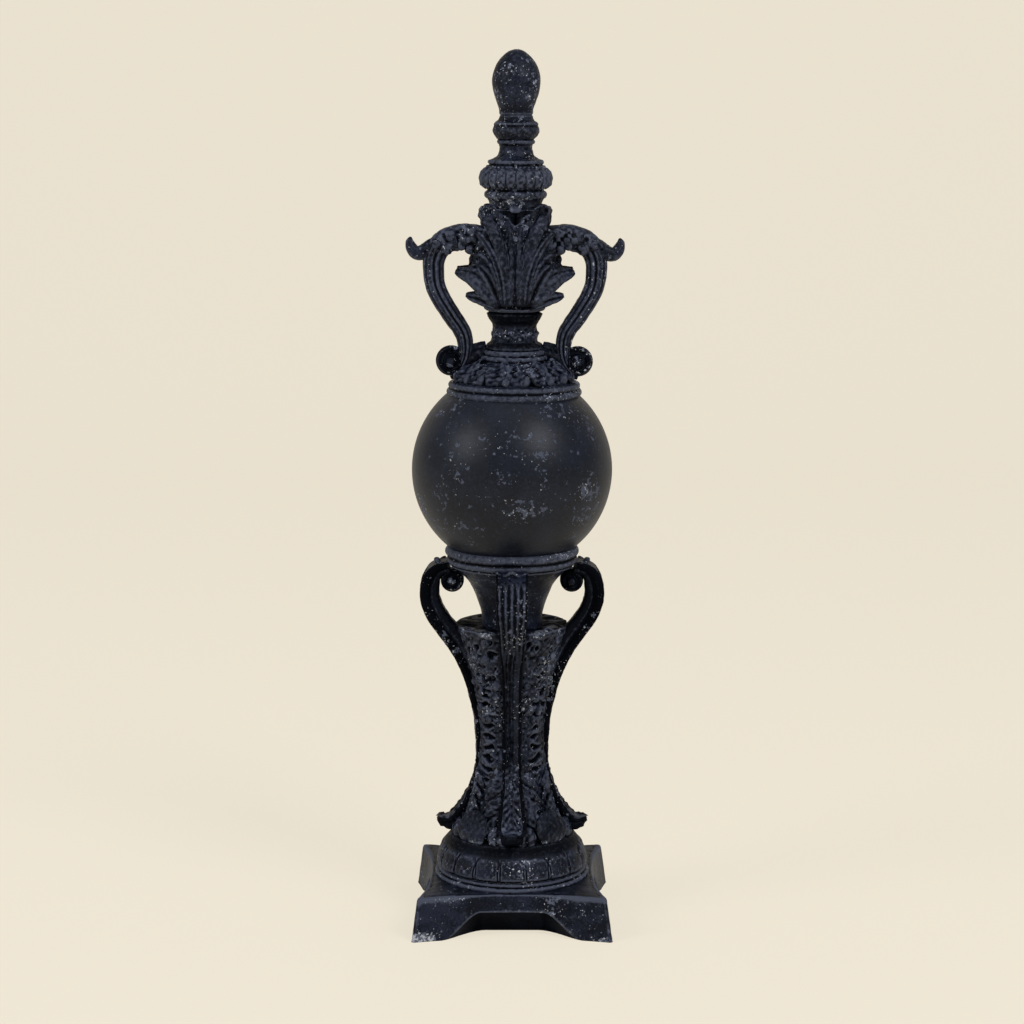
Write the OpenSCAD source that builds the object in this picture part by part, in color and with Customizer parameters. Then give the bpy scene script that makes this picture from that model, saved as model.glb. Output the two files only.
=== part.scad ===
// Ball finial for a table or a mantel: a footed pedestal with four scroll brackets, a plain ball,
// and a two-handled crown with a leafed calyx, a gadrooned knob and a bud.
// Cast in resin as three pieces that are glued one on the other. Millimetres, +Z up, on its feet.

/* [Plinth] */
// Side of the square plinth across its feet
plinth_w = 115; // [105:1:140]
// Height of the plinth
plinth_h = 25; // [20:1:30]
// How far the top edge stands in from the feet on each side
plinth_batter = 5; // [2:0.5:7]
// How far each side curves in at its middle
plinth_bow = 7; // [3:0.5:9]
// Radius of the cove between two feet
cove_r = 14.5; // [10:0.5:17]
// Straight length of that cove
cove_l = 43; // [30:1:50]
// Depth of the edge that rounds off the four upright corners
corner_cut = 4; // [1:0.5:6]

/* [Cushion] */
// Radius of the round step under the cushion
step_r = 45; // [43:0.5:47]
// Height of that step
step_h = 3; // [2:0.5:4]
// Largest radius of the petalled cushion
cushion_r = 44; // [40:0.5:46]
// Height of the cushion
cushion_h = 21; // [17:0.5:26]
// Number of petals round the cushion
petals = 18; // [8:1:24]
// Width of the groove on each side of a petal
petal_groove = 1.2; // [0.8:0.1:2]
// Rib left standing between two petals
petal_rib = 1.6; // [1:0.1:3]
// Depth of the grooves
petal_depth = 1.2; // [0.6:0.1:2]

/* [Shaft] */
// Height of the shaft from the cushion to the cup ring
shaft_h = 160; // [133:1:193]
// Radius of the shaft at its waist
waist_r = 19; // [16:0.5:23]
// Radius of the leaves at the foot of the shaft
foot_r = 33; // [30:0.5:36]
// Radius of the ruffled leaf rim under the brackets' loops
rim_r = 32; // [28:0.5:36]
// Radius of the vase at its narrowest, where it rises from the leaves
vase_neck_r = 17.6; // [15:0.2:20]
// How far the leaves stand out on the four corners
leaf_relief = 1.6; // [0.5:0.1:2.5]
// Pairs of lobes up each of those leaves
leaf_tiers = 5; // [3:1:7]

/* [Brackets] */
// How far the scroll brackets reach from the axis
bracket_reach = 52.9; // [45:0.1:64]
// Radius at which the brackets run down the waist
bracket_waist = 20.8; // [18:0.1:25]
// How far their hooked feet reach
hook_reach = 45; // [40:0.5:54]
// Thickness of a bracket at its loop
bracket_t = 11.3; // [9:0.1:13]
// Width of a bracket at its top
bracket_w_top = 17.7; // [14:0.1:21]
// Width of a bracket down the waist
bracket_w_waist = 11; // [9:0.1:13]
// Radius of the curl inside the top of a bracket
curl_r = 6.6; // [5:0.1:7.5]
// Width of that curl
curl_w = 15; // [12:0.1:17]
// Number of reeds down the face of a bracket
reeds = 5; // [3:1:7]

/* [Cup ring] */
// Radius of the double ring that carries the ball
ring_r = 38.5; // [32:0.1:42]
// Height of the ring
ring_h = 10; // [8:0.5:13]
// Width of the lip left round the ball
lip_w = 1.8; // [1.2:0.1:3]

/* [Ball] */
// Radius of the ball
ball_r = 57.3; // [47:0.1:69]
// Thickness of the glue line round the ball's two seats
glue_line = 0.3; // [0.1:0.05:0.6]

/* [Crown base] */
// Radius of the collar that sits on the ball
collar_r = 38.6; // [36:0.1:42]
// Height of the collar
collar_h = 7.5; // [5:0.5:9]
// Height of the leafed dome above it
dome_h = 14; // [11:0.5:17]
// Radius of the first of the three stepped rings on the dome
steps_r = 19.6; // [17:0.2:22]
// Height of the three stepped rings together
steps_h = 9; // [7:0.5:11]
// Radius of the neck at its narrowest
neck_r = 11.5; // [9:0.1:14]
// Height of the neck from the rings to the calyx
neck_h = 20; // [16:0.5:24]
// How far the crown was set off the ball's axis
crown_shift = 1.2; // [0:0.1:1.5]
// How far it leans, in degrees
crown_lean = 0.4; // [0:0.1:0.6]

/* [Calyx] */
// Height of the calyx from its bead to its curled tips
calyx_h = 58; // [50:0.5:66]
// Radius of the calyx between its fins
calyx_r = 21; // [18:0.5:24]
// How far the upper pair of leaf points reaches
fin_hi = 33.5; // [30:0.5:34.5]
// How far the lower pair reaches
fin_lo = 27.3; // [24:0.5:28.5]
// Radius of the four curled tips at its top
tip_r = 20.5; // [18:0.5:23]

/* [Handles] */
// How far the hooked ends of the handles reach
handle_reach = 62; // [57:0.5:75]
// Radius of a handle at its shoulder
handle_r = 6.2; // [5:0.1:7]
// Radius of a handle at its foot
handle_foot_r = 4.7; // [4:0.1:6]
// Radius of the volute at the foot of a handle
volute_r = 9; // [7:0.1:10]
// Width of that volute
volute_w = 11; // [8:0.5:13]

/* [Knob and bud] */
// Radius of the gadrooned knob
knob_r = 20.7; // [18:0.1:24]
// Height from the calyx to the foot of the bud
knob_h = 48; // [44:0.5:54]
// Number of gadroons round the knob
gadroons = 20; // [10:1:28]
// Radius of the bud
bud_r = 13.8; // [11:0.1:16]
// Height of the bud
bud_h = 38; // [32:0.5:45]

/* [Hidden] */
$fn = 96;
black = [0.10, 0.105, 0.13];
grey_black = [0.13, 0.135, 0.16];

// Heights of the pedestal, from the floor up
cushion_z = plinth_h + step_h;
shaft_z = cushion_z + cushion_h;
ring_z = shaft_z + shaft_h;
cup_z = ring_z + ring_h;
// The ball sits in the cup on a circle of this radius, and the crown's collar on one a little wider
seat_r = ring_r - lip_w;
ball_z = cup_z + sqrt(ball_r * ball_r - seat_r * seat_r);
collar_seat_r = collar_r - lip_w / 2;
collar_z = ball_z + sqrt(ball_r * ball_r - collar_seat_r * collar_seat_r);
// Heights of the crown, from the collar's foot up
dome_z = collar_h;
steps_z = dome_z + dome_h - 1;
neck_z = steps_z + steps_h;
calyx_z = neck_z + neck_h;
knob_z = calyx_z + calyx_h;
bud_z = knob_z + knob_h;
// Where a handle's shoulder and its volute stand
shoulder_z = calyx_z + 0.35 * calyx_h;
volute_x = handle_reach - 27;
volute_z = dome_z + 11.8;

function mix(a, b, t) = a + (b - a) * t;
// Smooth curve through the points p, in n steps from each to the next
function span_point(a, b, c, d, t) =
  (2 * b + (c - a) * t + (2 * a - 5 * b + 4 * c - d) * t * t + (3 * b - a - 3 * c + d) * t * t * t) / 2;
function smooth(p, n = 5) = [
  for (i = [0:len(p) - 2])
    for (k = [0:n - 1])
      span_point(p[max(i - 1, 0)], p[i], p[i + 1], p[min(i + 2, len(p) - 1)], k / n),
  p[len(p) - 1]
];
// Arc about c from the angle a to the angle b
function arc(c, r, a, b, n = 8) = [for (k = [0:n]) c + r * [cos(mix(a, b, k / n)), sin(mix(a, b, k / n))]];
// A bump of height 1 at the angle 0 that ends at the angle w, with a sharper crest as p grows
function bump(a, w, p = 1) = abs(a) >= w ? 0 : pow(1 - abs(a) / w, p);
// The signed angle from a to the nearest of n spokes, the first of which lies at the angle at
function off_spoke(a, n, at = 0) = let (s = 360 / n, d = (a - at) / s) (d - round(d)) * s;

// Closed solid from rings of points: sides between them and a flat cap at each end
module skin(rings) {
  n = len(rings[0]);
  m = len(rings);
  points = [for (r = rings) for (p = r) p];
  sides = [
    for (i = [0:m - 2])
      for (j = [0:n - 1])
        let (a = i * n + j, b = i * n + (j + 1) % n)
          each [[a, b + n, b], [a, a + n, b + n]]
  ];
  caps = [[for (j = [0:n - 1]) j], [for (j = [n - 1:-1:0]) (m - 1) * n + j]];
  polyhedron(points, concat(caps, sides));
}

// Rod of n sides along the points of path in the XZ plane, with a radius for each point and a width ratio
module rod(path, radii, flat = 1, n = 10) {
  last = len(path) - 1;
  skin([
    for (i = [0:last])
      let (d = path[min(i + 1, last)] - path[max(i - 1, 0)], u = d / norm(d))
        [for (k = [0:n - 1])
          let (a = 360 * k / n)
            [
              path[i][0] - u[1] * radii[i] * cos(a),
              -flat * radii[i] * sin(a),
              path[i][1] + u[0] * radii[i] * cos(a)
            ]
        ]
  ]);
}

// Turned solid from a profile of [radius, height] points, closed down the axis
module turned(p) {
  rotate_extrude() polygon(concat([[0, p[0][1]]], p, [[0, p[len(p) - 1][1]]]));
}

// ---- Plinth ----

// One side's slope, seen from the end: a trapezium across the whole plinth
module plinth_slope() {
  polygon([
    [-plinth_w / 2, 0],
    [plinth_w / 2, 0],
    [plinth_w / 2 - plinth_batter, plinth_h],
    [-plinth_w / 2 + plinth_batter, plinth_h]
  ]);
}

// Large leaning drum that hollows one side of the plinth along its length
module bow_cutter() {
  chord = plinth_w / 2 - corner_cut;
  drum_r = (chord * chord + plinth_bow * plinth_bow) / (2 * plinth_bow);
  lean = atan(plinth_batter / plinth_h);
  translate([0, -plinth_w / 2 + plinth_bow - drum_r / cos(lean), 0])
    rotate([-lean, 0, 0])
      cylinder(h = 4 * plinth_h, r = drum_r, center = true, $fn = 192);
}

// Cove between two feet, with a round end at each foot
module cove_cutter() {
  y = -plinth_w / 2 + plinth_bow + 1;
  translate([0, y, 0]) {
    rotate([0, 90, 0]) cylinder(h = cove_l, r = cove_r, center = true);
    for (s = [-1, 1]) translate([s * cove_l / 2, 0, 0]) sphere(r = cove_r);
  }
}

module plinth() {
  corner_square = plinth_w * sqrt(2) - 2 * corner_cut;
  difference() {
    intersection() {
      rotate([90, 0, 0]) linear_extrude(height = plinth_w, center = true) plinth_slope();
      rotate([90, 0, 90]) linear_extrude(height = plinth_w, center = true) plinth_slope();
      rotate([0, 0, 45]) linear_extrude(height = plinth_h) square(corner_square, center = true);
    }
    for (a = [0:90:270]) rotate([0, 0, a]) {
      bow_cutter();
      cove_cutter();
    }
  }
}

// ---- Cushion ----

function cushion_side() = smooth([
  [cushion_r - 1.8, cushion_z],
  [cushion_r, cushion_z + 0.15 * cushion_h],
  [cushion_r - 1.7, cushion_z + 0.5 * cushion_h],
  [cushion_r - 4.7, cushion_z + 0.87 * cushion_h],
  [cushion_r - 10, shaft_z + 1.5]
], 4);

module cushion() {
  side = cushion_side();
  // Groove cutter: the strip between the cushion's surface, sunk by the groove's depth, and the air
  groove = concat(
    [for (p = side) p - [petal_depth, 0]],
    [for (i = [len(side) - 1:-1:0]) side[i] + [2, 0]]
  );
  difference() {
    turned(side);
    for (k = [0:petals - 1], s = [-1, 1])
      rotate([90, 0, 360 * (k + 0.5) / petals - 90])
        translate([0, 0, s * (petal_rib + petal_groove) / 2])
          linear_extrude(height = petal_groove, center = true) polygon(groove);
  }
  turned(concat(
    [[step_r - 1, plinth_h - 1]],
    arc([step_r - 1.2, plinth_h + step_h - 1.2], 1.2, 0, 90, 4),
    [[cushion_r - 5, cushion_z]]
  ));
}

// ---- Shaft ----

// Radius of the leafed shaft between its straps, by height
function shaft_side() = smooth([
  [foot_r, shaft_z],
  [foot_r - 1.2, shaft_z + 6],
  [mix(waist_r, foot_r, 0.55), shaft_z + 0.10 * shaft_h],
  [mix(waist_r, foot_r, 0.26), shaft_z + 0.19 * shaft_h],
  [waist_r, shaft_z + 0.34 * shaft_h],
  [mix(waist_r, rim_r, 0.08), shaft_z + 0.45 * shaft_h],
  [mix(waist_r, rim_r, 0.32), shaft_z + 0.57 * shaft_h],
  [mix(waist_r, rim_r, 0.70), shaft_z + 0.69 * shaft_h],
  [rim_r, shaft_z + 0.79 * shaft_h]
], 3);

// How far the carving stands out at the height share t and the angle a: on each corner a long leaf
// with lobes that sweep up and out from its midrib, a broad shell at its foot and a ruffled lip
function carving(t, a) =
  let (
    side = abs(off_spoke(a, 4, 45)),
    lobes = cos(360 * (leaf_tiers * t - side / 52)),
    midrib = bump(side, 9, 0.8)
  )
  leaf_relief * (
    0.45 * cos(4 * side)
    + 0.75 * lobes * (1 - midrib) * bump(t - 0.52, 0.5, 0.5)
    + 0.8 * midrib
    + 2.0 * bump(side, 36, 0.5) * bump(t - 0.05, 0.12, 0.8)
    + 1.0 * cos(24 * side) * bump(t - 1, 0.16, 1)
  );

module leafed_shaft() {
  side = shaft_side();
  segments = 64;
  top = side[len(side) - 1][1];
  // Behind the ruffled rim the top dips to the vase
  dip = 2;
  core_r = vase_neck_r - 5;
  skin([
    for (p = side)
      let (t = (p[1] - shaft_z) / (top - shaft_z))
        [for (k = [0:segments - 1])
          let (a = 360 * k / segments, r = p[0] + carving(t, a))
            [r * cos(a), r * sin(a), p[1]]
        ],
    [for (k = [0:segments - 1])
      let (a = 360 * k / segments)
        [core_r * cos(a), core_r * sin(a), top - dip]
    ]
  ]);
}

// Plain vase that rises out of the leaves and flares to the cup ring, and the ring itself
module vase_and_ring() {
  low = shaft_z + 0.79 * shaft_h;
  turned(concat(
    [
      [foot_r - 8, shaft_z - 2],
      [waist_r - 4, shaft_z + 0.25 * shaft_h],
      [waist_r - 4, shaft_z + 0.6 * shaft_h]
    ],
    smooth([
      [vase_neck_r, low - 6],
      [vase_neck_r + 0.4, low + 4],
      [mix(vase_neck_r, ring_r, 0.18), ring_z - 18],
      [mix(vase_neck_r, ring_r, 0.36), ring_z - 9],
      [mix(vase_neck_r, ring_r, 0.74), ring_z - 2]
    ], 4),
    [[ring_r - 4, ring_z - 0.4], [ring_r - 3.2, ring_z + 0.6]],
    arc([ring_r - 2.2, ring_z + 2.9], 2.2, -80, 70, 6),
    arc([ring_r - 3, ring_z + ring_h - 3], 3, -40, 80, 7),
    [[ring_r - 4, cup_z]]
  ));
}

// ---- Brackets ----

// Outer edge of a bracket, from the cup ring over the loop and down the waist to the hooked foot
function bracket_edge() = smooth([
  [ring_r + 0.5, ring_z + 0.5],
  [bracket_reach - 7.5, ring_z - 1.0],
  [bracket_reach - 3, ring_z - 6],
  [bracket_reach, ring_z - 17],
  [mix(bracket_waist, bracket_reach, 0.87), ring_z - 0.203 * shaft_h],
  [mix(bracket_waist, bracket_reach, 0.573), ring_z - 0.29 * shaft_h],
  [mix(bracket_waist, bracket_reach, 0.318), ring_z - 0.379 * shaft_h],
  [mix(bracket_waist, bracket_reach, 0.14), ring_z - 0.48 * shaft_h],
  [bracket_waist + 0.8, ring_z - 0.587 * shaft_h],
  [bracket_waist, ring_z - 0.66 * shaft_h],
  [bracket_waist + 1.2, shaft_z + 0.24 * shaft_h],
  [bracket_waist + 5.4, shaft_z + 0.165 * shaft_h],
  [mix(bracket_waist, hook_reach, 0.5), shaft_z + 14.5],
  [mix(bracket_waist, hook_reach, 0.74), shaft_z + 10.6],
  [hook_reach - 1, shaft_z + 9.6]
], 5);

// Hollow of the loop, from the vase out to the strap and up to the crook that holds the curl
function loop_gap() =
  let (
    x = bracket_reach - bracket_t,
    low = ring_z - 31
  )
  concat(
    [[5, low]],
    smooth([
      [x - 9, low],
      [x - 5.5, low + 1.8],
      [x - 2, low + 7],
      [x, low + 15],
      [x - 0.6, low + 21.5],
      [x - 7, low + 25.4],
      [x - 14, low + 23],
      [x - 18, low + 21.5]
    ], 4),
    [[5, low + 21.5]]
  );

module bracket_outline() {
  difference() {
    polygon(concat(
      [[0, ring_z + 0.5]],
      bracket_edge(),
      arc([hook_reach - 3, shaft_z + 6.8], 3, 60, -60, 6),
      [[hook_reach - 5.5, shaft_z + 2], [hook_reach - 12, shaft_z - 0.5], [0, shaft_z - 0.5]]
    ));
    polygon(loop_gap());
  }
}

// Width of a bracket, seen from its front
module bracket_front() {
  top = bracket_w_top / 2;
  waist = bracket_w_waist / 2;
  edge = smooth([
    [waist + 2.2, shaft_z - 1],
    [waist + 1.4, shaft_z + 0.1 * shaft_h],
    [waist, shaft_z + 0.3 * shaft_h],
    [waist + 0.2, shaft_z + 0.6 * shaft_h],
    [top - 0.4, ring_z - 0.11 * shaft_h],
    [top, ring_z + 1]
  ], 3);
  polygon(concat(edge, [for (i = [len(edge) - 1:-1:0]) [-edge[i][0], edge[i][1]]]));
}

// Grooves between the reeds on a bracket's face, from the top of the loop to the waist
module reed_cutter() {
  depth = 0.9;
  width = 1;
  edge = [for (p = bracket_edge()) if (p[1] > ring_z - 0.5 * shaft_h && p[1] < ring_z - 3) p];
  pitch = 0.95 * bracket_w_top / (reeds + 1);
  strip = concat(
    [for (p = edge) p - [depth, 0]],
    [for (i = [len(edge) - 1:-1:0]) edge[i] + [3, 0]]
  );
  for (k = [1:reeds - 1])
    rotate([90, 0, 0])
      translate([0, 0, (k - reeds / 2) * pitch])
        linear_extrude(height = width, center = true) polygon(strip);
}

module bracket() {
  curl_x = bracket_reach - bracket_t - 7.2;
  curl_z = ring_z - 10.4;
  difference() {
    intersection() {
      rotate([90, 0, 0])
        linear_extrude(height = 2 * bracket_w_top, center = true) bracket_outline();
      rotate([90, 0, 90])
        linear_extrude(height = 2 * bracket_reach) bracket_front();
    }
    reed_cutter();
  }
  translate([curl_x, 0, curl_z]) rotate([90, 0, 0]) {
    cylinder(h = curl_w, r = curl_r, center = true, $fn = 48);
    cylinder(h = curl_w + 2, r = curl_r * 0.4, center = true, $fn = 32);
  }
}

module pedestal() {
  color(black) difference() {
    union() {
      plinth();
      cushion();
      leafed_shaft();
      vase_and_ring();
      for (a = [0:90:270]) rotate([0, 0, a]) bracket();
    }
    translate([0, 0, ball_z]) sphere(r = ball_r + glue_line);
  }
}

// ---- Ball ----

module ball() {
  color(grey_black) translate([0, 0, ball_z]) sphere(r = ball_r, $fn = 128);
}

// ---- Crown, about its own axis with its collar's foot at height 0 ----

module collar_and_neck() {
  ring_pitch = steps_h / 3;
  turned(concat(
    [[collar_r - 3, -1]],
    arc([collar_r - 2.4, 1.9], 2.4, -60, 60, 6),
    arc([collar_r - 3.2, collar_h - 2.2], 2.2, -30, 80, 5),
    smooth([
      [collar_r - 4, dome_z],
      [mix(steps_r, collar_r, 0.68), dome_z + 0.42 * dome_h],
      [mix(steps_r, collar_r, 0.33), dome_z + 0.78 * dome_h],
      [steps_r, steps_z]
    ], 3),
    [
      for (i = [0:2])
        each arc([steps_r - 2.2 - 1.7 * i, steps_z + ring_pitch * (i + 0.5)], ring_pitch / 2, -80, 80, 4)
    ],
    smooth([
      [neck_r + 2, neck_z + 0.5],
      [neck_r, neck_z + 0.38 * neck_h],
      [neck_r + 2.4, neck_z + 0.68 * neck_h],
      [neck_r + 4.4, neck_z + 0.86 * neck_h]
    ], 4),
    arc([neck_r + 3.2, calyx_z], 2.2, -50, 60, 5),
    [[calyx_r - 7, calyx_z + 8], [calyx_r - 7, knob_z - 8]],
    [[neck_r + 1, knob_z - 2]],
    knob_side(),
    bud_side()
  ));
}

// Profile of the knob and the small rings over it, up to the foot of the bud
function knob_side() =
  let (z = knob_z, w = bud_r)
  concat(
    [[knob_r - 5.3, z - 0.5]],
    arc([knob_r - 5.3, z + 4.2], 2.2, -70, 60, 5),
    smooth([
      [knob_r - 3.4, z + 7.2],
      [knob_r, z + 13.2],
      [knob_r - 1.4, z + 17],
      [knob_r - 4.2, z + 19.4]
    ], 3),
    [[knob_r - 5.2, z + 20.4], [knob_r - 6.4, z + 23.6], [w - 3.6, z + 25.6]],
    smooth([[w - 4.2, z + 27.5], [w - 4.6, z + 30.4], [w - 3.6, z + 32.4]], 2),
    arc([w - 4.2, z + 34], 1.2, -60, 60, 4),
    smooth([[w - 2.6, z + 36.2], [w - 0.5, z + 39.6], [w - 1.6, z + 42]], 3),
    arc([w - 4.0, z + 44.4], 1.3, -50, 80, 4),
    [[w - 4.6, z + knob_h]]
  );

function bud_side() = smooth([
  [bud_r - 4.7, bud_z + 0.5],
  [bud_r - 3.3, bud_z + 0.18 * bud_h],
  [bud_r - 0.6, bud_z + 0.42 * bud_h],
  [bud_r, bud_z + 0.54 * bud_h],
  [bud_r - 1.6, bud_z + 0.73 * bud_h],
  [bud_r - 4.4, bud_z + 0.86 * bud_h],
  [bud_r - 8.8, bud_z + 0.96 * bud_h],
  [1.2, bud_z + bud_h]
], 4);

// Grooves between the gadroons: the strip between the knob's flank, sunk by their depth, and the air
module gadroon_grooves() {
  depth = 1.3;
  width = 1.7;
  flank = [
    [knob_r - 4, knob_z + 7.5],
    [knob_r - 1, knob_z + 10.5],
    [knob_r, knob_z + 13.2],
    [knob_r - 1.4, knob_z + 17],
    [knob_r - 4, knob_z + 19.2]
  ];
  strip = concat(
    [for (p = flank) p - [depth, 0]],
    [[knob_r + 2, knob_z + 19.2], [knob_r + 2, knob_z + 7.5]]
  );
  for (k = [0:gadroons - 1])
    rotate([90, 0, 360 * (k + 0.5) / gadroons])
      linear_extrude(height = width, center = true) polygon(strip);
}

// Radius of the calyx by height share t, between its fins
function calyx_body(t) = lookup(t, [
  [0, calyx_r - 4.4],
  [0.15, calyx_r - 2],
  [0.35, calyx_r],
  [0.55, calyx_r + 1],
  [0.75, calyx_r - 1],
  [0.85, calyx_r - 3.5],
  [1, calyx_r - 5]
]);

// How far the paired leaf points reach to each side, by height share: two points, then the arm's root
function calyx_fin(t) = lookup(t, [
  [0, calyx_r - 4.4],
  [0.03, calyx_r - 2],
  [0.06, fin_lo - 1.5],
  [0.10, fin_lo],
  [0.17, fin_lo - 4.5],
  [0.22, calyx_r + 2.5],
  [0.28, fin_hi - 4],
  [0.335, fin_hi],
  [0.39, fin_hi - 2],
  [0.45, fin_hi - 5.5],
  [0.55, fin_hi - 5],
  [0.7, calyx_r],
  [0.85, calyx_r - 3],
  [1, calyx_r - 5]
]);

module calyx() {
  segments = 64;
  // Behind the curled tips the top dips to the knob's foot
  dip = 2.5;
  core_r = calyx_r - 12;
  shares = [
    -0.03, 0.03, 0.06, 0.10, 0.135, 0.17, 0.22, 0.28, 0.335, 0.39,
    0.45, 0.51, 0.57, 0.63, 0.70, 0.77, 0.82, 0.86, 0.93, 0.985
  ];
  skin([
    for (t = shares)
      [for (k = [0:segments - 1])
        let (
          a = 360 * k / segments,
          side = off_spoke(a, 2),
          tip = off_spoke(a, 4),
          front = abs(off_spoke(a, 2, 90)),
          veins = 1.1 * cos(360 * (front / 30 - 1.3 * t)) * sin(180 * max(t, 0)),
          fin = max(0, calyx_fin(t) - calyx_body(t)) * bump(side, 42, 1.6),
          curl = t > 0.84 ? (tip_r - calyx_body(t)) * bump(tip, 26, 0.6) : 0,
          r = calyx_body(t) + veins + fin + curl
        )
          [r * cos(a), r * sin(a), calyx_z + t * calyx_h]
      ],
    [for (k = [0:segments - 1])
      let (a = 360 * k / segments)
        [core_r * cos(a), core_r * sin(a), knob_z - dip]
    ]
  ]);
}

// Centre line of a handle: out of the calyx, over the shoulder and down to the volute
function handle_line() = smooth([
  [calyx_r - 4, shoulder_z + 18],
  [calyx_r + 9, shoulder_z + 19.2],
  [handle_reach - 21.5, shoulder_z + 15.5],
  [handle_reach - 16.6, shoulder_z + 7],
  [handle_reach - 15.9, shoulder_z - 1],
  [handle_reach - 17.2, shoulder_z - 8.5],
  [handle_reach - 20.5, shoulder_z - 15.5],
  [handle_reach - 27.2, shoulder_z - 26],
  [handle_reach - 32.4, shoulder_z - 34],
  [handle_reach - 34.7, volute_z + 10.5],
  [handle_reach - 33, volute_z + 1]
], 3);

// Centre line of the hook that runs on from the shoulder and curls up at its end
function hook_line() = smooth([
  [calyx_r + 12, shoulder_z + 18.5],
  [handle_reach - 18.5, shoulder_z + 15.2],
  [handle_reach - 10.8, shoulder_z + 11.6],
  [handle_reach - 5.2, shoulder_z + 11.7],
  [handle_reach - 2.3, shoulder_z + 15.4],
  [handle_reach - 2.7, shoulder_z + 19]
], 3);

module handle() {
  line = handle_line();
  hook = hook_line();
  n = len(line) - 1;
  m = len(hook) - 1;
  // Thickest where it leaves the calyx, full at the shoulder, thinnest at the volute
  thickness = [[0, handle_r + 1], [0.25, handle_r], [1, handle_foot_r]];
  hook_end_r = 1.7;
  rod(line, [for (i = [0:n]) lookup(i / n, thickness)]);
  rod(hook, [for (i = [0:m]) mix(handle_r - 1, hook_end_r, pow(i / m, 0.8))], 1.2, 8);
  translate([volute_x, 0, volute_z]) rotate([90, 0, 0]) {
    cylinder(h = volute_w, r = volute_r, center = true, $fn = 48);
    cylinder(h = volute_w + 2.4, r = volute_r * 0.38, center = true, $fn = 32);
  }
  // Leafy web from the volute down into the dome
  rotate([90, 0, 0])
    linear_extrude(height = volute_w - 3, center = true)
      polygon([
        [steps_r - 8, steps_z - 6],
        [volute_x - 3, dome_z - 3],
        [volute_x + 1, dome_z - 2],
        [volute_x + 2, volute_z],
        [volute_x - volute_r, volute_z + 6],
        [steps_r - 8, neck_z - 1]
      ]);
}

module crown_casting() {
  difference() {
    collar_and_neck();
    gadroon_grooves();
  }
  calyx();
  for (a = [0, 180]) rotate([0, 0, a]) handle();
}

module crown() {
  color(black) difference() {
    translate([crown_shift, 0, collar_z]) rotate([0, crown_lean, 0]) crown_casting();
    translate([0, 0, ball_z]) sphere(r = ball_r + glue_line);
  }
}

pedestal();
ball();
crown();
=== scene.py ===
import math

import bmesh
import bpy
import numpy as np
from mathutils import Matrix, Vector


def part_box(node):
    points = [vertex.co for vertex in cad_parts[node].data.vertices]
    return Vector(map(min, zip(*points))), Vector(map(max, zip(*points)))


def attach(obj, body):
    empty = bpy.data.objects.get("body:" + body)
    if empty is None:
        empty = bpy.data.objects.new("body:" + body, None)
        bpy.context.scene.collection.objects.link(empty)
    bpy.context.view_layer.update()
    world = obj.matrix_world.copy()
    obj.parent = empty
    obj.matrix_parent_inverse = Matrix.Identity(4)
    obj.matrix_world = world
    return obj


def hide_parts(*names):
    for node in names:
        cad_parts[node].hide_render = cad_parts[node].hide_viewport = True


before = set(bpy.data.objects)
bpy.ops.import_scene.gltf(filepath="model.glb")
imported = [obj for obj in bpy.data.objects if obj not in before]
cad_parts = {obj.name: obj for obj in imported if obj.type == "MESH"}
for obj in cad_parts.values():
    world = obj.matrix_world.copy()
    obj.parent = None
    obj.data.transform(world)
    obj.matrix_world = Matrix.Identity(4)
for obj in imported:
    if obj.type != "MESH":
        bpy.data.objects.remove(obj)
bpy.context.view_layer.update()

MM = 0.001
TAU = 2 * math.pi


# ---- Places, from the frame ----

def box_mm(node):
    """Lowest and highest corner of a node's box, in millimetres."""
    low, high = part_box(node)
    return np.array(low) / MM, np.array(high) / MM


pedestal_high = box_mm("pedestal")[1]
ball_low, ball_high = box_mm("ball")
ball_mid = (ball_low + ball_high) / 2
BALL_R = (ball_high[0] - ball_low[0]) / 2
TOP_Z = box_mm("crown")[1][2]

# The plinth and its cushion
PLINTH_H = 25
PLINTH_HALF = pedestal_high[0]
PLINTH_BATTER = 3.4  # how far each side leans in at the top
PLINTH_BOW = 7  # how far the middle of each side is bowed in
CORNER_R = 2.0
COVE_R = 14.5  # height of the cove between two feet
COVE_FLAT = 18  # from the middle of a side to the end of the cove's flat top
COVE_END = 40  # and to where the cove meets the foot
CUSHION_R = 43
PETALS = 18
# The shaft, with its four straps and the ruffled rim that they pass
SHAFT_Z = 49
RIM_Z = 173.2
# The crown leans a little on the ball, about the foot of its collar
COLLAR_Z = 305.9
CROWN_SHIFT = 1.2
CROWN_LEAN = math.radians(0.4)
CALYX_Z = 355.4
TIPS_Z = 413.4
DOME_LEAVES = 8
GADROONS = 22
BEADS = 40
# How far a point has to stand out from its neighbours to count as a full edge
EDGE_BEND = 0.35


# ---- Curves and fields ----

def lerp(a, b, t):
    return a + (b - a) * t


def smoothstep(low, high, x):
    t = np.clip((x - low) / (high - low), 0, 1)
    return t * t * (3 - 2 * t)


def bell(x, width):
    return np.exp(-(x / width) ** 2)


def arc(x, z, r, start, end, n=8):
    """Points of an arc about (x, z), with its angles in degrees."""
    a = np.radians(np.linspace(start, end, n + 1))
    return np.stack([x + r * np.cos(a), z + r * np.sin(a)], axis=1)


def evenly(line, step):
    """The same line, with points about step apart."""
    gaps = np.linalg.norm(np.diff(line, axis=0), axis=1)
    along = np.concatenate([[0], np.cumsum(gaps)])
    want = np.linspace(0, along[-1], max(round(along[-1] / step), 2) + 1)
    return np.stack([np.interp(want, along, line[:, k]) for k in range(line.shape[1])], axis=1)


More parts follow.
